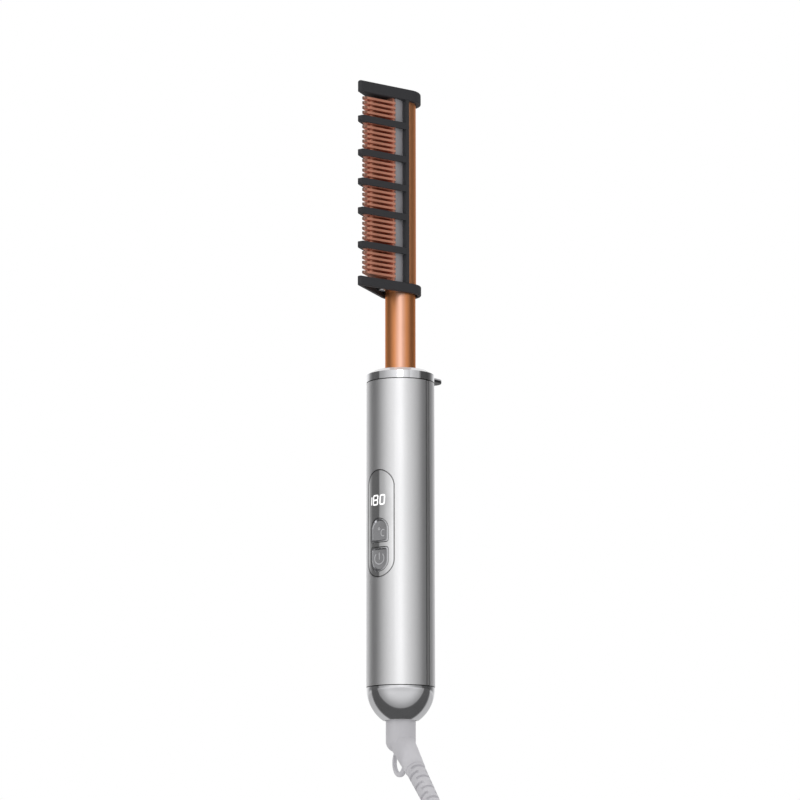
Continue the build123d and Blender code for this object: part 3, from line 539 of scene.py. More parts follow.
@dataclass(frozen=True)
class SeamPolish(Polish):
    """Polished metal with painted shade in the seam's groove, which lies between two heights.

    Above the bevel's height it is frosted, so it mirrors less.
    """

    low: float = 0.0
    high: float = 0.0
    blur: float = 0.02
    # The colour of the painted shade in the groove.
    painted_shade: Colour = (0.04, 0.04, 0.04)
    bevel: float = 75.65
    frost: float = 0.8

    def plated(self, bench: Bench, smudge: Value) -> bpy.types.NodeSocket:
        """Adds the groove's painted shade to the plain colour.

        Args:
            bench: Where the nodes are built.
            smudge: The broad noise.

        Returns:
            The colour link.
        """
        _, _, z = bench.parts()
        above = z.rise(self.low - self.blur, self.low)
        # The painted shade fills the groove between the two heights.
        groove = above * (1.0 - z.rise(self.high, self.high + self.blur))
        return bench.blend(groove, super().plated(bench, smudge), self.painted_shade)

    def metal(self, bench: Bench) -> Any:
        """Less metal on the bevel."""
        _, _, z = bench.parts()
        return 1.0 - z.rise(self.bevel - 0.05, self.bevel + 0.05) * self.frost


@dataclass(frozen=True)
class PanelPolish(Polish):
    """Mirror plating with a line of painted shade round the panel's outline."""

    middle: tuple[float, float] = (-0.8, 3.65)
    half: float = 7.95
    straight: float = 17.25
    line: float = 0.3
    # The colour of the painted shade line round the outline.
    painted_shade: Colour = (0.06, 0.06, 0.06)

    def plated(self, bench: Bench, smudge: Value) -> bpy.types.NodeSocket:
        """The painted shade line is where the distance to the outline's spine comes near the half
        width.

        Args:
            bench: Where the nodes are built.
            smudge: The broad noise.

        Returns:
            The colour link.
        """
        x, _, z = bench.parts()
        beyond = (abs(z - self.middle[1]) - self.straight).maths("MAXIMUM", 0.0)
        away = ((x - self.middle[0]) ** 2.0 + beyond ** 2.0).root()
        inner = self.half - self.line
        edge = away.rise(inner - 0.1, inner)
        return bench.blend(edge * 0.75, super().plated(bench, smudge), self.painted_shade)


@dataclass(frozen=True)
class CopperCoat(Finish):
    """Copper-coloured ceramic coating, darker and redder where heat and use have stained it.

    Its colour runs from the plain one, a painted highlight where the surface faces the eye,
    to the deep one as it turns away from the eye, between the facing values near and far.
    """

    # A heat stain; on the comb this colour also paints the shade between the fins and on the web.
    stain_and_shade: Colour = (0.30, 0.09, 0.04)
    deep: Colour = (0.72, 0.30, 0.13)
    roughness: float = 0.33
    near: float = 0.0
    far: float = 0.28
    metallic: float = 0.92

    def facing_highlight(self, bench: Bench) -> bpy.types.NodeSocket:
        """The coating's colour with a painted highlight: paler where it faces the eye, deeper
        where it turns away.

        Args:
            bench: Where the nodes are built.

        Returns:
            The colour link.
        """
        # Painted highlight: the colour is paler where the surface faces the eye.
        weight = bench.node("ShaderNodeLayerWeight", None, {"Blend": 0.5})
        away = Value(bench, weight.outputs["Facing"]).rise(self.near, self.far)
        return bench.blend(away, self.colour, self.deep)

    def stained(self, heat: Value, grain: Value) -> Value:
        """How much of the stain shows: slow patches and a fine speckle."""
        return heat.rise(0.5, 0.8) * 0.16 + grain.rise(0.3, 0.7) * 0.05

    def shade(self, bench: Bench, heat: Value, grain: Value) -> bpy.types.NodeSocket:
        """The colour: a slow heat stain and a fine grain.

        Args:
            bench: Where the nodes are built.
            heat: The slow noise.
            grain: The fine noise.

        Returns:
            The colour link.
        """
        return bench.blend(self.stained(heat, grain), self.facing_highlight(bench), self.stain_and_shade)

    def metal(self, bench: Bench) -> Any:
        """How much of the coating mirrors as metal."""
        return self.metallic

    def nodes(self, bench: Bench) -> None:
        """A fine grain bends the surface, and the heat stain is a little rougher.

        Args:
            bench: Where the nodes are built.
        """
        grain = bench.noise(0.12, 2.0)
        heat = bench.noise(16.0, 3.0, (1.0, 1.0, 2.5))
        bench.finish({
            "Base Color": self.shade(bench, heat, grain),
            "Metallic": self.metal(bench),
            "Roughness": (heat - 0.5) * 0.12 + grain * 0.06 + (self.roughness - 0.03),
            "Specular Tint": (0.55, 0.42, 0.36),
            "Normal": bench.relief(grain, 0.003),
        })


@dataclass(frozen=True)
class FinCoat(CopperCoat):
    """The comb's coating: pale fins, a deeper back, painted shade between the fins and on the web,
    dark fin tips.

    Core, web and fin are half widths. The other lengths are distances in front of the
    barrel's axis.
    """

    back: Colour = (0.98, 0.42, 0.19)
    tip: Colour = (0.14, 0.09, 0.075)
    core: float = 1.4
    web: float = 1.5
    fin: float = 6.5
    fin_back: float = 11.4
    fin_middle: float = 20.0
    web_reach: float = 24.5
    fin_reach: float = 28.9
    back_metal: float = 0.86
    fin_metal: float = 0.60

    def behind(self, ahead: Value) -> Value:
        """1 on the back, which ends a little behind the fins."""
        return 1.0 - ahead.rise(self.fin_back - 5.0, self.fin_back - 4.0)

    def shade(self, bench: Bench, heat: Value, grain: Value) -> bpy.types.NodeSocket:
        """Adds the painted shade between the fins and on the web, the back's tint and the dark
        tips, which the depth and the distance from the middle pick.

        Args:
            bench: Where the nodes are built.
            heat: The slow noise.
            grain: The fine noise.

        Returns:
            The colour link.
        """
        x, y, _ = bench.parts()
        ahead = -1.0 * y
        plain = bench.blend(self.behind(ahead), self.facing_highlight(bench), self.back)
        fins = ahead.rise(self.fin_back + 0.2, self.fin_back + 1.0)
        # Painted shade, deeper towards the core between the fins.
        between = (fins * (1.0 - abs(x).rise(self.core, self.fin))
                   * (1.0 - ahead.rise(self.fin_middle, self.fin_reach)) * 0.4)
        # Painted shade on the web, seen between the fins.
        web = (fins * (1.0 - abs(x).rise(self.web, self.web + 0.2))
               * (1.0 - ahead.rise(self.web_reach, self.web_reach + 0.4)) * 0.45)
        body = bench.blend(self.stained(heat, grain) + between + web, plain, self.stain_and_shade)
        tips = ahead.rise(self.fin_reach - 2.2, self.fin_reach - 0.6) * 0.8
        return bench.blend(tips, body, self.tip)

    def metal(self, bench: Bench) -> Any:
        """The fins are duller than the back."""
        _, y, _ = bench.parts()
        return self.behind(-1.0 * y) * (self.back_metal - self.fin_metal) + self.fin_metal


@dataclass(frozen=True)
class Moulded(Finish):
    """Moulded plastic: a fine spark-eroded grain, faint flow marks and specks of dust."""

    roughness: float = 0.5
    grain: float = 0.35
    depth: float = 0.012
    gloss: float = 0.5

    def tone(self, bench: Bench, flow: Value) -> bpy.types.NodeSocket:
        """The colour, a little darker or paler along the flow marks."""
        pale = tuple(c + (1.0 - c) * 0.05 * min(1.0, 8.0 * c) for c in self.colour)
        return bench.blend(flow.rise(0.35, 0.65), self.times(0.88), pale)

    def nodes(self, bench: Bench) -> None:
        """Cells make the grain, noise the flow marks.

        Args:
            bench: Where the nodes are built.
        """
        pits = bench.cells(self.grain)
        flow = bench.noise(12.0, 3.0, (1.0, 1.0, 3.0))
        bench.finish({
            "Base Color": self.tone(bench, flow),
            "Roughness": pits * 0.1 + (flow - 0.5) * 0.12 + (self.roughness - 0.04),
            "Specular IOR Level": self.gloss,
            "Normal": bench.relief(pits, self.depth),
        })


@dataclass(frozen=True)
class GuardPlastic(Moulded):
    """Black plastic with a painted highlight, in light grey patches, on its foremost faces."""

    # The colour of the painted highlight on the noses.
    nose_highlight: Colour = (0.34, 0.34, 0.36)
    reach: float = 32.05

    def tone(self, bench: Bench, flow: Value) -> bpy.types.NodeSocket:
        """Adds the painted highlight on the noses to the plain tone.

        Args:
            bench: Where the nodes are built.
            flow: The flow marks' noise.

        Returns:
            The colour link.
        """
        _, y, _ = bench.parts()
        foremost = (-1.0 * y).rise(self.reach - 1.5, self.reach - 0.5)
        # A painted highlight, in patches, on the foremost faces.
        highlight_mask = foremost * bench.noise(1.6, 1.0).rise(0.2, 0.5)
        return bench.blend(highlight_mask, super().tone(bench, flow), self.nose_highlight)


@dataclass(frozen=True)
class FootPlastic(Finish):
    """The rest foot: light grey above an edge height, near black below it."""

    below: Colour = (0.02, 0.02, 0.022)
    edge: float = 76.5

    def nodes(self, bench: Bench) -> None:
        """The height picks the colour, cells make the grain.

        Args:
            bench: Where the nodes are built.
        """
        _, _, z = bench.parts()
        pits = bench.cells(0.4)
        above = z.rise(self.edge - 0.05, self.edge + 0.05)
        bench.finish({
            "Base Color": bench.blend(above, self.below, self.colour),
            "Roughness": pits * 0.1 + 0.34,
            "Normal": bench.relief(pits, 0.01),
        })


@dataclass(frozen=True)
class Vinyl(Finish):
    """The cord's soft sleeve: a faint drag from the die and handling marks."""

    roughness: float = 0.46

    def nodes(self, bench: Bench) -> None:
        """Two noises, a fine one for the surface and a broad one for the marks.

        Args:
            bench: Where the nodes are built.
        """
        fine = bench.noise(0.25, 2.0)
        marks = bench.noise(7.0, 3.0)
        bench.finish({
            "Base Color": bench.blend(marks.rise(0.4, 0.75), self.colour, self.times(0.86)),
            "Roughness": (marks - 0.5) * 0.16 + fine * 0.06 + self.roughness,
            "Normal": bench.relief(fine, 0.006),
        })


@dataclass(frozen=True)
class Laminate(Finish):
    """The circuit board: green mask over straight tracks, with tinned pads."""

    track: Colour = (0.10, 0.34, 0.16)
    pad: Colour = (0.62, 0.60, 0.55)
    spacing: float = 2.4
    pitch: float = 2.54

    def nodes(self, bench: Bench) -> None:
        """Triangle waves in X and Z make the tracks and a grid of round pads.

        Args:
            bench: Where the nodes are built.
        """
        x, _, z = bench.parts()
        wander = bench.noise(14.0, 0.0)
        lines = (x + wander * 6.0).wave(self.spacing).rise(0.30, 0.36)
        away = (x.wave(self.pitch) ** 2.0 + z.wave(self.pitch) ** 2.0).root()
        pads = 1.0 - away.rise(0.13, 0.17)
        chosen = pads * bench.noise(7.0, 0.0).rise(0.52, 0.54)
        green = bench.blend(lines, self.colour, self.track)
        bench.finish({
            "Base Color": bench.blend(chosen, green, self.pad),
            "Metallic": chosen * 0.8,
            "Roughness": 0.42 - chosen * 0.14,
            "Normal": bench.relief(lines * 0.5 + chosen, 0.04),
        })


@dataclass(frozen=True)
class Lit(Finish):
    """Lit digits: an even glow over pale plastic."""

    strength: float = 0.9

    def nodes(self, bench: Bench) -> None:
        """A soft fall in the glow, from fine noise.

        Args:
            bench: Where the nodes are built.
        """
        fine = bench.noise(0.3, 1.0)
        glow = bench.blend(fine.rise(0.3, 0.7), self.times(0.93), self.colour)
        bench.finish({"Base Color": (0.5, 0.5, 0.5), "Emission Color": glow,
                      "Emission Strength": self.strength, "Roughness": 0.4})


@dataclass(frozen=True)
class Ink(Finish):
    """Printed marks on the keys, a little worn."""

    def nodes(self, bench: Bench) -> None:
        """Fine noise thins the ink.

        Args:
            bench: Where the nodes are built.
        """
        wear = bench.noise(0.2, 2.0)
        pale = tuple(c + (1.0 - c) * 0.2 for c in self.colour)
        bench.finish({"Base Color": bench.blend(wear.rise(0.5, 0.8), self.colour, pale),
                      "Roughness": wear * 0.1 + 0.4})


class Coat(Enum):
    """Every finish on the object."""

    SHELL = MetalPaint("satin_silver_paint", (0.88, 0.88, 0.89), 0.40, 0.05, 0.003)
    TRIM = TrimPaint("satin_silver_trim", (0.97, 0.97, 0.98), 0.34, 0.04, 0.002, 1.15)
    COLLAR = SeamPolish("polished_collar", (0.88, 0.88, 0.90), 0.07, 0.04, (8.0, 8.0, 1.0),
                        60.0, 72.06)
    PANEL = PanelPolish("mirror_panel", (0.98, 0.98, 0.99), 0.09, 0.05)
    KEY = Polish("satin_key", (0.74, 0.74, 0.76), 0.16, 0.06)
    CAP = SeamPolish("mirror_cap", (0.84, 0.84, 0.86), 0.09, 0.05, (8.0, 8.0, 1.0),
                     -72.06, -60.0)
    BARREL = CopperCoat("copper_barrel", (0.79, 0.57, 0.51), (0.36, 0.13, 0.06),
                        (1.0, 0.40, 0.16), 0.34, -0.05, 0.12)
    COMB = FinCoat("copper_comb", (0.99, 0.50, 0.36), (0.24, 0.07, 0.035),
                   (0.99, 0.44, 0.30), 0.32)
    GUARD = GuardPlastic("black_nylon", (0.018, 0.0182, 0.020), 0.30, 0.30, 0.006, 0.25)
    STRIP = Moulded("grey_trim_strip", (0.30, 0.30, 0.32), 0.36, 0.30, 0.006)
    FOOT = FootPlastic("foot_light_above_dark_below", (0.50, 0.50, 0.52))
    BOOT = Moulded("soft_grey_boot", (0.66, 0.65, 0.68), 0.5, 0.45, 0.012)
    CORD = Vinyl("grey_cord_vinyl", (0.64, 0.63, 0.66))
    TIE = Moulded("grey_tie", (0.42, 0.42, 0.45), 0.6, 0.5, 0.06)
    PINS = Polish("plated_pins", (0.78, 0.74, 0.66), 0.2, 0.1)
    STEEL = Polish("plated_steel", (0.62, 0.62, 0.63), 0.26, 0.1, (1.0, 1.0, 3.0))
    BRASS = Polish("plain_brass", (0.78, 0.60, 0.28), 0.24, 0.1)
    BOARD = Laminate("board_laminate", (0.02, 0.14, 0.05))
    PACKAGE = Moulded("moulded_package", (0.025, 0.025, 0.028), 0.55, 0.25, 0.010)
    NYLON = Moulded("white_nylon", (0.72, 0.70, 0.64), 0.45, 0.4, 0.010)
    CERAMIC = Moulded("sintered_ceramic", (0.76, 0.73, 0.66), 0.7, 0.2, 0.015)
    FILM = Moulded("amber_film", (0.58, 0.30, 0.06), 0.25, 0.6, 0.004)
    LEAD = Vinyl("sleeved_lead", (0.62, 0.58, 0.50), 0.5)
    DIGITS = Lit("lit_digits", (1.0, 1.0, 1.0))
    MARKS = Ink("key_marks", (0.55, 0.55, 0.57))


def coat(piece: bpy.types.Object, finish: Coat) -> bpy.types.Object:
    """Gives a piece its finish in its first material slot.

    Args:
        piece: The object.
        finish: Which finish.

    Returns:
        The same object.
    """
    if piece.material_slots:
        for place in piece.material_slots:
            place.material = finish.value.material()
    else:
        piece.data.materials.append(finish.value.material())
    return piece


# ---------------------------------------------------------------- sub-assemblies
class Assembly:
    """A group of pieces that is dressed and built together.

    A group that is not mirrored stays out of glossy rays: the mirror-bright end cap would
    show the boot and the hank upside down.
    """

    dressed: dict[str, Coat] = {}
    mirrored: bool = True

    def dress(self, nodes: dict[str, bpy.types.Object]) -> None:
        """Gives every kept solid of this group its finish.

        Args:
            nodes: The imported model's solids by name.
        """
        for name, finish in self.dressed.items():
            coat(nodes[name], finish).visible_glossy = self.mirrored
            LOG.info("%s: solid %s, finish %s", type(self).__name__, name, finish.value.name)

    def build(self) -> list[bpy.types.Object]:
        """Makes this group's new pieces."""
        return []

    def add(self, piece: bpy.types.Object, finish: Coat, body: str, slot: str) -> bpy.types.Object:
        """Coats a new piece and sets the body that it moves with.

        Args:
            piece: The new object.
            finish: Its finish.
            body: The body's name.
            slot: The record's material slot. Not used.

        Returns:
            The same object.
        """
        coat(piece, finish).visible_glossy = self.mirrored
        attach(piece, body)
        LOG.info("%s: piece %s on %s", type(self).__name__, piece.name, body)
        return piece


@dataclass
class Handle(Assembly):
    """The tube's two halves, their trims, the collar and the rest foot."""

    dressed = {
        "front_shell": Coat.SHELL, "back_shell": Coat.SHELL,
        "side_trim_left": Coat.TRIM, "side_trim_right": Coat.TRIM,
        "collar_ring": Coat.COLLAR, "rest_foot": Coat.FOOT, "end_cap": Coat.CAP,
    }


@dataclass
class ControlPanel(Assembly):
    """The panel, its lit digits and the two marked keys."""

    face: float = 15.9
    digit_low: float = 12.1
    digit_high: float = 17.1
    one_x: float = -5.5
    eight_x: float = -2.75
    eight_wide: float = 2.8
    zero_x: float = 1.3
    zero_wide: float = 2.4
    slant: float = 0.07
    stroke: float = 0.7
    dish: float = 14.8
    mark: float = 0.42
    proud: float = 0.03
    lift: float = 0.01
    power_at: tuple[float, float] = (-1.2, -12.7)
    power_radius: float = 2.7
    power_bar: tuple[float, float] = (-13.4, -9.9)
    heat_at: tuple[float, float] = (1.0, -0.9)
    heat_size: tuple[float, float] = (1.2, 1.5)
    ring_at: tuple[float, float] = (-1.35, 1.1)

    dressed = {
        "control_panel": Coat.PANEL,
        "temperature_button": Coat.KEY, "power_button": Coat.KEY,
    }

    def on_panel(self, flat: Array) -> Array:
        """Lays a flat stroke on the panel's cylinder: y is minus the root of r^2 - x^2.

        Args:
            flat: A grid of x, z and height.

        Returns:
            The grid's points in space.
        """
        x, z, height = flat[..., 0], flat[..., 1], flat[..., 2]
        lean = x + self.slant * (z - (self.digit_low + self.digit_high) / 2)
        depth = np.sqrt((self.face + self.lift + height) ** 2 - lean**2)
        return np.stack([lean, -depth, z], -1)

    def on_dish(self, flat: Array) -> Array:
        """Lays a flat stroke on the keys' flat dish floors."""
        return np.stack([flat[..., 0], -(self.dish + self.lift + flat[..., 2]), flat[..., 1]], -1)

    def oval(self, x: float, z: float, wide: float, high: float, power: float) -> Array:
        """A closed superellipse line of the given full width and height."""
        across, up = rounded(np.linspace(0.0, 2 * math.pi, 48, endpoint=False), power)
        return np.stack([x + across * wide / 2, z + up * high / 2], -1)

    def digits(self) -> bpy.types.Object:
        """The lit 180: one bar, two stacked ovals and one tall oval.

        Returns:
            The digits as one piece.
        """
        low, high = self.digit_low + self.stroke / 2, self.digit_high - self.stroke / 2
        middle = (low + high) / 2
        half = (high - low) / 2
        bar = np.stack([np.full(32, self.one_x), np.linspace(low, high - 0.4, 32)], -1)
        shape = Shape().grid(self.on_panel(ribbon(bar, self.stroke, self.proud)), False)
        rings = ((self.eight_x, middle + half / 2, self.eight_wide, half),
                 (self.eight_x, middle - half / 2, self.eight_wide, half),
                 (self.zero_x, middle, self.zero_wide, 2 * half))
        for x, z, wide, tall in rings:
            line = self.oval(x, z, wide, tall, 5.0)
            shape.grid(self.on_panel(ribbon(line, self.stroke, self.proud, True)), False)
        return shape.piece("display_digits", 60.0)

    def power_mark(self) -> bpy.types.Object:
        """An open ring with a bar in its gap, on the lower key.

        Returns:
            The mark as one piece.
        """
        turn = np.linspace(math.radians(130), math.radians(410), 40)
        circle = np.stack([np.cos(turn), np.sin(turn)], -1)
        ring = np.array(self.power_at) + self.power_radius * circle
        bar = np.stack([np.full(16, self.power_at[0]), np.linspace(*self.power_bar, 16)], -1)
        shape = Shape()
        for line in (ring, bar):
            shape.grid(self.on_dish(ribbon(line, self.mark, self.proud)), False)
        return shape.piece("power_mark", 60.0)

    def heat_mark(self) -> bpy.types.Object:
        """A small ring and an open arc for degrees, on the upper key.

        Returns:
            The mark as one piece.
        """
        turn = np.linspace(math.radians(50), math.radians(310), 40)
        circle = np.stack([np.cos(turn), np.sin(turn)], -1)
        arc = np.array(self.heat_at) + np.array(self.heat_size) * circle
        shape = Shape().grid(self.on_dish(ribbon(arc, self.mark, self.proud)), False)
        ring = self.oval(*self.ring_at, 1.0, 1.0, 2.0)
        shape.grid(self.on_dish(ribbon(ring, self.mark * 0.8, self.proud, True)), False)
        return shape.piece("heat_mark", 60.0)

    def build(self) -> list[bpy.types.Object]:
        """Makes the digits and both marks."""
        return [
            self.add(self.digits(), Coat.DIGITS, "handle", "panel_gloss"),
            self.add(self.heat_mark(), Coat.MARKS, "temperature_key", "key_plastic"),
            self.add(self.power_mark(), Coat.MARKS, "power_key", "key_plastic"),
        ]


@dataclass
class CombHead(Assembly):
    """The barrel, the heated comb and the guard round it."""

    dressed = {
        "barrel_tube": Coat.BARREL, "comb_body": Coat.COMB,
        "side_strip_left": Coat.STRIP, "side_strip_right": Coat.STRIP,
        "guard_base_plate": Coat.GUARD, "guard_top_cap": Coat.GUARD,
        "guard_rail_left": Coat.GUARD, "guard_rail_right": Coat.GUARD,
        "guard_ribs": Coat.GUARD, "guard_screws": Coat.STEEL,
    }


@dataclass
class Inside(Assembly):
    """What the shells, the barrel and the comb hide."""

    dressed = {
        "tact_switches": Coat.PACKAGE, "display_module": Coat.PACKAGE, "main_board": Coat.BOARD,
        "board_screws": Coat.STEEL, "triac": Coat.PACKAGE, "capacitor": Coat.PACKAGE,
        "barrel_bush": Coat.NYLON, "heater_plate": Coat.CERAMIC, "heater_insulation": Coat.FILM,
        "heater_spring": Coat.STEEL, "heater_leads": Coat.LEAD, "thermal_fuse": Coat.STEEL,
        "thermistor": Coat.PACKAGE, "thermistor_leads": Coat.LEAD, "swivel_bushing": Coat.NYLON,
        "contact_plate": Coat.PACKAGE, "contact_brushes": Coat.BRASS, "mains_leads": Coat.LEAD,
        "slip_rings": Coat.BRASS, "swivel_clip": Coat.STEEL,
    }


@dataclass
class SwivelFrame:
    """The frame of the pieces that swivel with the cord."""

    yaw: float = -26.8
    lean: float = 46.5
    elbow: float = -96.25

    def swing(self, points: Array) -> Array:
        """Turns points from this frame to the object's: a rotation about Z by the yaw.

        Args:
            points: Points with X, Y and Z last.

        Returns:
            The turned points.
        """
        turn = math.radians(self.yaw)
        cosine, sine = math.cos(turn), math.sin(turn)
        spin = np.array([[cosine, -sine, 0.0], [sine, cosine, 0.0], [0.0, 0.0, 1.0]])
        return np.asarray(points, float) @ spin.T

    def aim(self) -> Array:
        """The relief's direction."""
        lean = math.radians(self.lean)
        return np.array([math.sin(lean), 0.0, -math.cos(lean)])

    def along(self, reach: Array | float) -> Array:
        """Points on the relief's axis, at reach from the elbow."""
        return np.array([0.0, 0.0, self.elbow]) + np.asarray(reach, float)[..., None] * self.aim()

    def tube(self, reach: Array, radius: Array) -> Array:
        """A round surface along the relief's axis.

        The point is the axis at reach, plus the radius times cos(turn) along the axis's
        upper normal and sin(turn) along the frame's Y.

        Args:
            reach: Distances from the elbow, one a row.
            radius: Radii, as (rows, columns).

        Returns:
            The grid of points.
        """
        aim = self.aim()
        upper = np.array([-aim[2], 0.0, aim[0]])
        turn = np.linspace(0.0, 2 * math.pi, radius.shape[1], endpoint=False)
        spokes = np.cos(turn)[:, None] * upper + np.sin(turn)[:, None] * np.array([0.0, 1.0, 0.0])
        return self.along(reach)[:, None, :] + radius[..., None] * spokes[None]


@dataclass
class CordBoot(Assembly):
    """The boot under the end cap with its hanging loop, and the slotted relief."""

    frame: SwivelFrame = field(default_factory=SwivelFrame)
    socket: float = 21.0
    relief: float = 28.0
    radius: float = 4.5
    taper: float = 0.8
    bore: float = 3.2
    pitch: float = 3.5
    slot_from: float = 1.5
    slot_to: float = 3.1
    slot_edge: float = 0.25
    slot_depth: float = 0.95

    dressed = {"cord_boot": Coat.BOOT}
    mirrored = False

    def sleeve(self) -> bpy.types.Object:
        """The relief: a cone with slots that lie left and right, then above and below.

        The radius falls in a straight line, less the slot's depth where the slot's two
        masks are 1: one along the axis, a smooth box in every pitch, and one round it,
        where the cosine, or for every second slot the sine, of the turn is large.

        Returns:
            The relief.
        """
        reach = np.linspace(0.0, self.relief, 281)
        turn = np.linspace(0.0, 2 * math.pi, 64, endpoint=False)
        number = np.floor(reach / self.pitch)
        within = reach - number * self.pitch
        slot = rise(within, self.slot_from, self.slot_from + self.slot_edge)
        slot = slot * (1.0 - rise(within, self.slot_to - self.slot_edge, self.slot_to))
        slot = slot * (reach > 0.5) * (reach < self.relief - 2.0)
        swap = (number % 2).astype(bool)[:, None]
        facing = np.where(swap, np.abs(np.sin(turn)), np.abs(np.cos(turn)))
        mask = slot[:, None] * rise(facing, 0.42, 0.56)
        radius = (self.radius - self.taper * reach / self.relief)[:, None] - self.slot_depth * mask
        pole, mouth = np.zeros((1, len(turn))), np.full((1, len(turn)), self.bore)
        radius = np.concatenate([pole, radius, mouth, pole])
        reach = np.concatenate([[0.0], reach, [self.relief, self.relief]]) + self.socket
        surface = self.frame.swing(self.frame.tube(reach, radius))
        return Shape().grid(surface).piece("relief_sleeve", 40.0)

    def build(self) -> list[bpy.types.Object]:
        """Makes the relief.

        Returns:
            The new piece.
        """
        sleeve = self.add(self.sleeve(), Coat.BOOT, "cord_swivel", "boot_plastic")
        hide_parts("strain_relief")
        return [sleeve]


@dataclass
class MainsCord(Assembly):
    """The cord with its hank, the tie round it and the plug."""

    frame: SwivelFrame = field(default_factory=SwivelFrame)
    diameter: float = 6.0
    length: float = 1.8
    exit: float = 49.0
    hank_x: float = 32.9
    hank_z: float = -254.5
    lobe: float = 19.3
    lobe_z: float = 38.5
    layer: float = 18.9
    drop: float = 6.3
    squeeze: float = 0.508
    columns: tuple[float, float] = (9.6, 3.2)
    strands: int = 13
    waist: float = 7.0
    spread: float = 26.5
    tuck: float = 15.0
    loose: float = 0.67
    plug_x: float = 13.2
    plug_y: float = 0.4
    plug_face: float = -374.5
    tie_half: float = 13.5
    tie_height: float = 6.0
    tie_thick: float = 0.8

    dressed = {"plug_pins": Coat.PINS}
    mirrored = False

    def route(self) -> Array:
        """The cord's points from the relief to the hank's top."""
        start = self.frame.along([self.exit, self.exit + 13.0])
        return np.concatenate([start, [
            [50.8, 0.3, -152.6], [52.9, 1.4, -166.8], [53.4, 4.8, -181.0], [53.2, 9.6, -194.5],
            [52.4, 14.2, -208.0], [52.0, 16.6, -219.5],
        ]])

    def strand(self, number: int) -> Array:
        """One strand through the tied waist.

        With s the distance from the waist, from 0 to 1, the strand stands at its column
        plus s times the way to the lobe's side, and its layer is squeezed by a factor that
        rises in a straight line from the waist's to 1 where s is loose.

        Args:
            number: Counted from the first strand, even ones running down.

        Returns:
            Six points in the hank's own coordinates.
        """
        way = 1.0 if number % 2 == 0 else -1.0
        column = self.columns[(number // 2) % 2]
        side = self.lobe * math.cos(math.radians(self.tuck))
        share = np.array([2.0, 1.0, 0.0, 0.0, 1.0, 2.0]) / 3
        z = np.array([1.0, 1.0, 1.0, -1.0, -1.0, -1.0]) * (self.waist + self.spread * share) * way
        tight = self.squeeze + (1.0 - self.squeeze) * np.minimum(1.0, share / self.loose)
        x = (self.layer - self.drop * number / 2) * tight
        return np.stack([x, way * (column + (side - column) * share), z], -1)

    def fold(self, number: int) -> Array:
        """The fold after a strand: an arc of a circle, while the layer drops evenly.

        Its turn runs from minus the tuck to 180 degrees plus the tuck.

        Args:
            number: The strand's number.

        Returns:
            Eight points in the hank's own coordinates.
        """
        way = 1.0 if number % 2 == 0 else -1.0
        turn = np.radians(np.linspace(-self.tuck, 180.0 + self.tuck, 8))
        share = np.linspace(0.0, 1.0, 8)
        x = self.layer - self.drop * (number + share) / 2
        z = -way * (self.lobe_z + self.lobe * np.sin(turn))
        return np.stack([x, way * self.lobe * np.cos(turn), z], -1)

    def hank(self) -> Array:
        """All strands and folds in order, then the way out below.

        Returns:
            The points, in the swivelling frame.
        """
        line = []
        for number in range(self.strands - 1):
            line += [self.strand(number), self.fold(number)]
        line.append(self.strand(self.strands - 1)[:4])
        line.append(np.array([
            [-14.6, 12.8, -16.5], [-18.7, 14.0, -27.0], [-19.4, 12.6, -38.0],
            [-19.9, 8.6, -48.5], [-20.3, 4.0, -58.0],
        ]))
        return np.concatenate(line) + np.array([self.hank_x, 0.0, self.hank_z])

    def lead(self) -> Array:
        """The last points, into the plug."""
        x, y = self.plug_x, self.plug_y
        return np.array([[x - 0.8, y + 0.8, -320.8], [x, y, -326.8], [x, y, -332.5]])

    def cord(self) -> bpy.types.Object:
        """The whole cord as one smooth spline.

        Returns:
            The curve, round and closed at both ends.
        """
        points = self.frame.swing(np.concatenate([self.route(), self.hank(), self.lead()])) * MM
        weighted = np.concatenate([points, np.ones((len(points), 1))], 1)
        curve = bpy.data.curves.new("mains_cord", "CURVE")
        curve.dimensions = "3D"
        spline = curve.splines.new("NURBS")
        spline.points.add(len(points) - 1)
        spline.points.foreach_set("co", weighted.ravel())
        spline.order_u = 3
        spline.use_endpoint_u = True
        curve.resolution_u = 6
        curve.bevel_depth = self.diameter / 2 * MM
        curve.bevel_resolution = 5
        curve.use_fill_caps = True
        made = bpy.data.objects.new("mains_cord", curve)
        bpy.context.scene.collection.objects.link(made)
        return made

    def tie(self) -> bpy.types.Object:
        """A soft strap round the waist, with a short tail that lies over it.

        The strap's middle line is a superellipse about the hank's axis, and at each point
        of it stands a rounded flat section, its thickness along the line's outward normal
        and its height along Z. The tail is the same over a part of the turn, further out.

        Returns:
            The strap and its tail as one piece.
        """
        shape = Shape()
        for low, high, lift, tall in ((0.0, 360.0, 0.0, 1.0), (-78.0, 52.0, 1.62, 0.82)):
            turn = np.radians(np.linspace(low, high, 121))
            x, y = rounded(turn, 4.0)
            nx, ny = rounded(turn, 4.0 / 3.0)
            size = np.hypot(nx, ny)
            middle = self.tie_half + self.tie_thick + lift
            section = np.linspace(0.0, 2 * math.pi, 25)[:-1]
            thick, height = rounded(section, 5.0)
            out = middle * np.stack([x, y], -1)[:, None, :]
            normal = (np.stack([nx, ny], -1) / size[:, None])[:, None, :]
            flat = out + normal * (self.tie_thick * thick)[None, :, None]
            z = np.broadcast_to(self.tie_height * tall * height, flat.shape[:2])
            grid = np.concatenate([flat, z[..., None]], -1)
            if lift:
                ends = grid.mean(axis=1, keepdims=True)
                grid = np.concatenate([np.broadcast_to(ends[:1], grid[:1].shape), grid,
                                       np.broadcast_to(ends[-1:], grid[:1].shape)])
            shape.grid(self.frame.swing(grid + np.array([self.hank_x, 0.0, self.hank_z])))
        return shape.piece("hank_strap", 40.0)

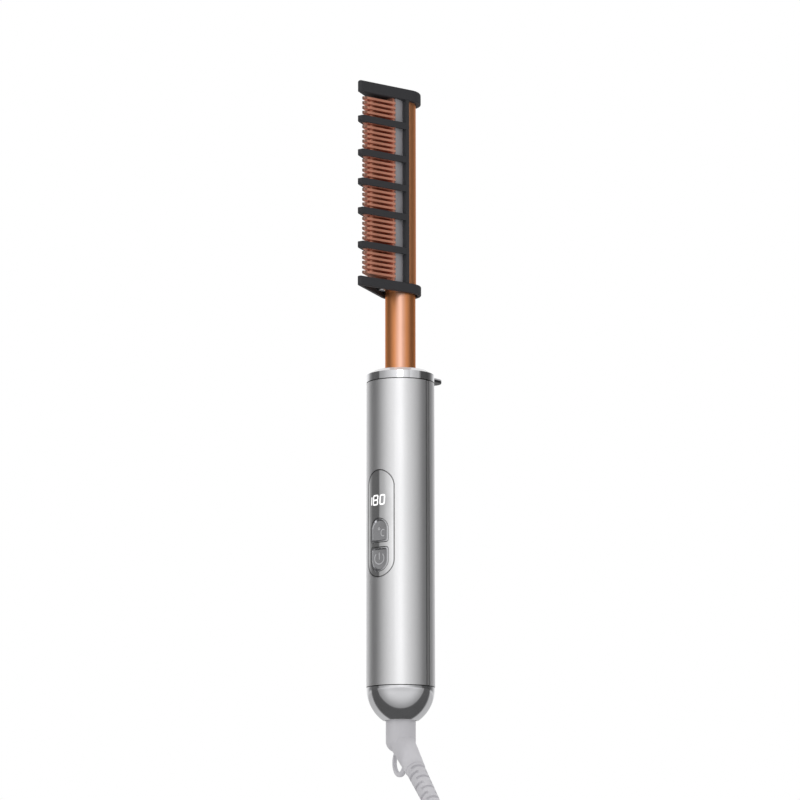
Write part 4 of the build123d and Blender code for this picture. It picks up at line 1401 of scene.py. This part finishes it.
    def plug(self) -> bpy.types.Object:
        """The plug: superellipse sections whose half sizes follow a table of heights.

        The table's columns are the height over the face, the half width, the half depth and
        the superellipse's power. Between its rows all change in a straight line. The body is
        squarer than the neck, its broad faces are dished for the fingers by a smooth box in
        height and width, and the neck is ribbed by a raised cosine.

        Returns:
            The plug.
        """
        table = np.array([
            [0.0, 0.0, 0.0, 5.0], [0.0, 16.6, 5.9, 5.0], [0.4, 17.2, 6.5, 5.0],
            [1.2, 17.5, 6.85, 5.0], [21.0, 17.5, 6.85, 5.0], [24.0, 15.4, 6.7, 4.6],
            [27.0, 11.4, 6.3, 4.0], [29.2, 8.2, 5.9, 3.2], [30.2, 6.0, 5.4, 2.4],
            [31.0, 4.9, 4.9, 2.0], [41.4, 3.75, 3.75, 2.0], [42.0, 3.5, 3.5, 2.0],
            [42.0, 0.0, 0.0, 2.0],
        ])
        fine = np.concatenate([np.linspace(1.2, 21.0, 34)[1:-1],
                               np.linspace(31.0, 41.4, 66)[1:-1]])
        between = np.stack([np.interp(fine, table[3:, 0], table[3:, c]) for c in (1, 2, 3)], -1)
        rows = np.concatenate([table, np.column_stack([fine, between])])
        rows = rows[np.lexsort((np.where(rows[:, 0] > 40, -rows[:, 1], rows[:, 1]), rows[:, 0]))]
        at = rows[:, 0]
        dish = 0.9 * rise(at, 3.0, 8.0) * (1.0 - rise(at, 15.0, 20.5))
        rib = 0.4 * (0.5 - 0.5 * np.cos((at - 31.4) * 2 * math.pi / 1.9))
        rib = rib * ((at > 31.4) & (at < 40.9))
        turn = np.linspace(0.0, 2 * math.pi, 80, endpoint=False)
        across, deep = (np.array(part) for part in zip(*(rounded(turn, p) for p in rows[:, 3])))
        x = (rows[:, 1] - rib)[:, None] * across
        hollow = dish[:, None] * (1.0 - rise(np.abs(x), 6.0, 12.5))
        y = (rows[:, 2] - rib)[:, None] * deep
        y = np.sign(y) * np.maximum(np.abs(y) - hollow * np.abs(deep), 0.0)
        z = np.broadcast_to(at[:, None] + self.plug_face, x.shape)
        centre = self.frame.swing(np.array([self.plug_x, self.plug_y, 0.0]))
        return Shape().grid(np.stack([x, y, z], -1) + centre).piece("plug_moulding", 40.0)

    def build(self) -> list[bpy.types.Object]:
        """Returns:
            The new pieces.
        """
        cord = self.add(self.cord(), Coat.CORD, "cord_swivel", "cord_plastic")
        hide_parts("power_cord", "cord_hank", "plug_lead")
        tie = self.add(self.tie(), Coat.TIE, "cord_swivel", "tie_plastic")
        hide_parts("cord_tie")
        plug = self.add(self.plug(), Coat.BOOT, "cord_swivel", "boot_plastic")
        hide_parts("plug_body")
        leaves = self.frame.swing(self.frame.along(self.exit)) * MM
        return [cord, tie, plug]


# ---------------------------------------------------------------- studio
@dataclass(frozen=True)
class Lamp:
    """A square soft lamp that looks at the object.

    It stands around degrees from the camera's side. Its height, its level distance and its
    side are in metres, and its power is in watts.
    """

    name: str
    around: float
    height: float
    far: float
    side: float
    power: float


@dataclass
class Studio:
    """The camera, the lamps, the surroundings and the floor.

    Angles are in degrees. Metal sees cards instead of the world: the walls' cards are a
    ramp of greys over the cosine to the camera, and the floor's are worked out beside it.
    The dim values darken the walls' cards, and the card values are the floor's greys.
    """

    azimuth: float = 37.241
    pitch: float = 10.450
    distance: float = 1.55847
    target: float = 0.0641
    lens: float = 148.56
    aside: float = -0.00049
    roll: float = 0.001
    floor: float = -0.42
    floor_half: float = 8000.0
    cap_z: float = -0.08
    ambient: float = 0.80
    lit_turn: float = -2.0
    edge_lean: float = 23.7
    horizon: float = 0.02
    dim_right: float = 0.52
    dim_less: float = 0.2
    card_near: float = 0.27
    card_more: float = 0.5
    card_behind: float = 0.55
    card_dark: float = 0.11
    walls: tuple[tuple[float, float], ...] = (
        (0.0, 1.0), (0.10, 0.80), (0.22, 0.28), (0.33, 0.12), (0.595, 0.105), (0.622, 0.33),
        (0.75, 0.44), (0.88, 0.72), (0.96, 1.0), (1.0, 1.0),
    )
    lamps: tuple[Lamp, ...] = (
        Lamp("front", -1.0, 0.36, 1.7, 0.6, 1.1),
        Lamp("key", -38.0, 1.2, 1.5, 0.8, 3.0),
        Lamp("fill", 50.0, 0.8, 1.6, 1.1, 0.8),
    )

    def toward(self) -> Array:
        """The level direction from the object to the camera."""
        turn = math.radians(self.azimuth)
        return np.array([math.sin(turn), -math.cos(turn), 0.0])

    def rightward(self) -> Array:
        """The level direction to the camera's right."""
        turn = math.radians(self.azimuth)
        return np.array([math.cos(turn), math.sin(turn), 0.0])

    def camera(self) -> bpy.types.Object:
        """The camera, level in roll and looking up a little.

        Returns:
            The camera's object.
        """
        data = bpy.data.cameras.new("view")
        data.lens = self.lens
        data.sensor_width = 36.0
        data.clip_start, data.clip_end = 0.05, 20.0
        made = bpy.data.objects.new("view", data)
        pitch = math.radians(self.pitch)
        back = self.toward() * math.cos(pitch) - np.array([0.0, 0.0, math.sin(pitch)])
        turn = math.radians(self.azimuth)
        made.location = (np.array([0.0, 0.0, self.target]) + back * self.distance
                         + self.rightward() * self.aside)
        made.rotation_euler = (math.pi / 2 + pitch, self.roll, turn)
        bpy.context.scene.collection.objects.link(made)
        bpy.context.scene.camera = made
        return made

    def wall_cards(self, bench: Bench, unit: Any) -> Value:
        """What upright metal sees: a broad light in front, dark flags beside it, light behind.

        The grey is a ramp over the cosine between the direction and the way to the camera.
        On the right it is dimmed, and more so behind.

        Args:
            bench: Where the nodes are built.
            unit: A link with the direction that is looked in, of length 1.

        Returns:
            The grey.
        """
        turn, pitch = math.radians(self.azimuth + self.lit_turn), math.radians(self.pitch)
        level = math.cos(pitch)
        front = (math.sin(turn) * level, -math.cos(turn) * level, -math.sin(pitch))
        share = bench.dot(unit, front) * 0.5 + 0.5
        ramp = bench.node("ShaderNodeValToRGB", {"stops": self.walls}, {0: share})
        right = bench.dot(unit, self.rightward()).rise(0.25, 0.85)
        dim = self.dim_right - share.rise(0.25, 0.5) * self.dim_less
        return Value(bench, ramp.outputs[0]) * (1.0 - right * dim)

    def floor_cards(self, bench: Bench, unit: Any) -> Value:
        """What metal that faces down sees: a light in front, then dark, then light behind.

        The front light's far edge is a plane that leans up.

        Args:
            bench: Where the nodes are built.
            unit: A link with the direction that is looked in, of length 1.

        Returns:
            The grey.
        """
        lean = math.radians(self.edge_lean)
        toward = self.toward()
        tilted = toward * math.cos(lean) + np.array([0.0, 0.0, math.sin(lean)])
        lead = bench.dot(unit, tilted)
        lit = lead.rise(0.05, 0.10) * (self.card_near + lead.rise(0.05, 0.7) * self.card_more)
        behind = (bench.dot(unit, toward) * -1.0).rise(0.38, 0.52) * self.card_behind
        return lit + behind + self.card_dark

    def seen(self, bench: Bench, way: Any) -> Value:
        """Both sets of cards, parted at the horizon.

        Args:
            bench: Where the nodes are built.
            way: A link with the direction that is looked in, of any length.

        Returns:
            The grey.
        """
        unit = bench.node("ShaderNodeVectorMath", {"operation": "NORMALIZE"}, {0: way}).outputs[0]
        above = bench.dot(unit, (0.0, 0.0, 1.0)).rise(-self.horizon, self.horizon)
        return self.floor_cards(bench, unit) * (1.0 - above) + self.wall_cards(bench, unit) * above

    def world(self) -> None:
        """White to the camera, the cards to metal, and an even grey to all else."""
        world = bpy.data.worlds.new("studio")
        bpy.context.scene.world = world
        world.use_nodes = True
        bench = Bench(world.node_tree)
        path = bench.node("ShaderNodeLightPath").outputs
        way = bench.node("ShaderNodeTexCoord").outputs["Generated"]
        cards = self.seen(bench, way).socket
        lit = bench.blend(Value(bench, path["Is Glossy Ray"]), (self.ambient,) * 3, cards)
        colour = bench.blend(Value(bench, path["Is Camera Ray"]), lit, (1.0, 1.0, 1.0))
        back = bench.node("ShaderNodeBackground", None, {"Color": colour, "Strength": 1.0})
        bench.node("ShaderNodeOutputWorld", None, {"Surface": back.outputs[0]})

    def hang(self, lamp: Lamp) -> None:
        """Adds one lamp.

        Args:
            lamp: Its place, size and power.
        """
        data = bpy.data.lights.new(lamp.name, "AREA")
        data.size, data.energy = lamp.side, lamp.power
        made = bpy.data.objects.new(lamp.name, data)
        turn = math.radians(self.azimuth + lamp.around)
        made.location = (lamp.far * math.sin(turn), -lamp.far * math.cos(turn), lamp.height)
        drop = math.atan2(lamp.height - self.target, lamp.far)
        made.rotation_euler = (math.pi / 2 - drop, 0.0, turn)
        bpy.context.scene.collection.objects.link(made)

    def ground(self) -> bpy.types.Object:
        """A plain pale floor, on which metal sees the same cards as round it.

        Returns:
            The floor.
        """
        side = np.array([-self.floor_half, self.floor_half])
        x, y = np.meshgrid(side, side, indexing="ij")
        grid = np.stack([x, y, np.full_like(x, self.floor / MM)], -1)
        made = Shape().grid(grid, False).piece("floor")
        material = bpy.data.materials.new("pale_floor")
        material.use_nodes = True
        bench = Bench(material.node_tree)
        way = bench.node("ShaderNodeVectorMath", {"operation": "SUBTRACT"},
                         {0: bench.place(), 1: (0.0, 0.0, self.cap_z)}).outputs[0]
        cards = self.seen(bench, way).socket
        glossy = Value(bench, bench.node("ShaderNodeLightPath").outputs["Is Glossy Ray"])
        pale = (self.ambient + 0.03,) * 3
        plain = bench.blend(bench.noise(180.0, 2.0), (self.ambient,) * 3, pale)
        bench.finish({"Base Color": bench.blend(glossy, plain, cards),
                      "Roughness": 0.85, "Specular IOR Level": 0.2})
        made.data.materials.append(material)
        return made

    def build(self) -> None:
        """Sets up everything but the camera, which comes first."""
        self.world()
        for lamp in self.lamps:
            self.hang(lamp)
        self.ground()
        LOG.info("studio: world, %d lamps and a floor", len(self.lamps))


def clear() -> None:
    """Removes the objects that Blender starts with."""
    for item in list(bpy.data.objects):
        bpy.data.objects.remove(item, do_unlink=True)


def main() -> None:
    """Builds the whole scene on the frame."""
    logging.basicConfig(level=logging.INFO, format="%(name)s: %(message)s")
    clear()
    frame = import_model()
    bpy.context.scene.view_settings.view_transform = "Standard"
    studio = Studio()
    studio.camera()
    assemblies = [MainsCord(), CordBoot(), Handle(), ControlPanel(), CombHead(), Inside()]
    for assembly in assemblies:
        assembly.dress(frame["nodes"])
        for piece in assembly.build():
            LOG.info("made %s", piece.name)
    studio.build()


if __name__ == "__main__":
    main()
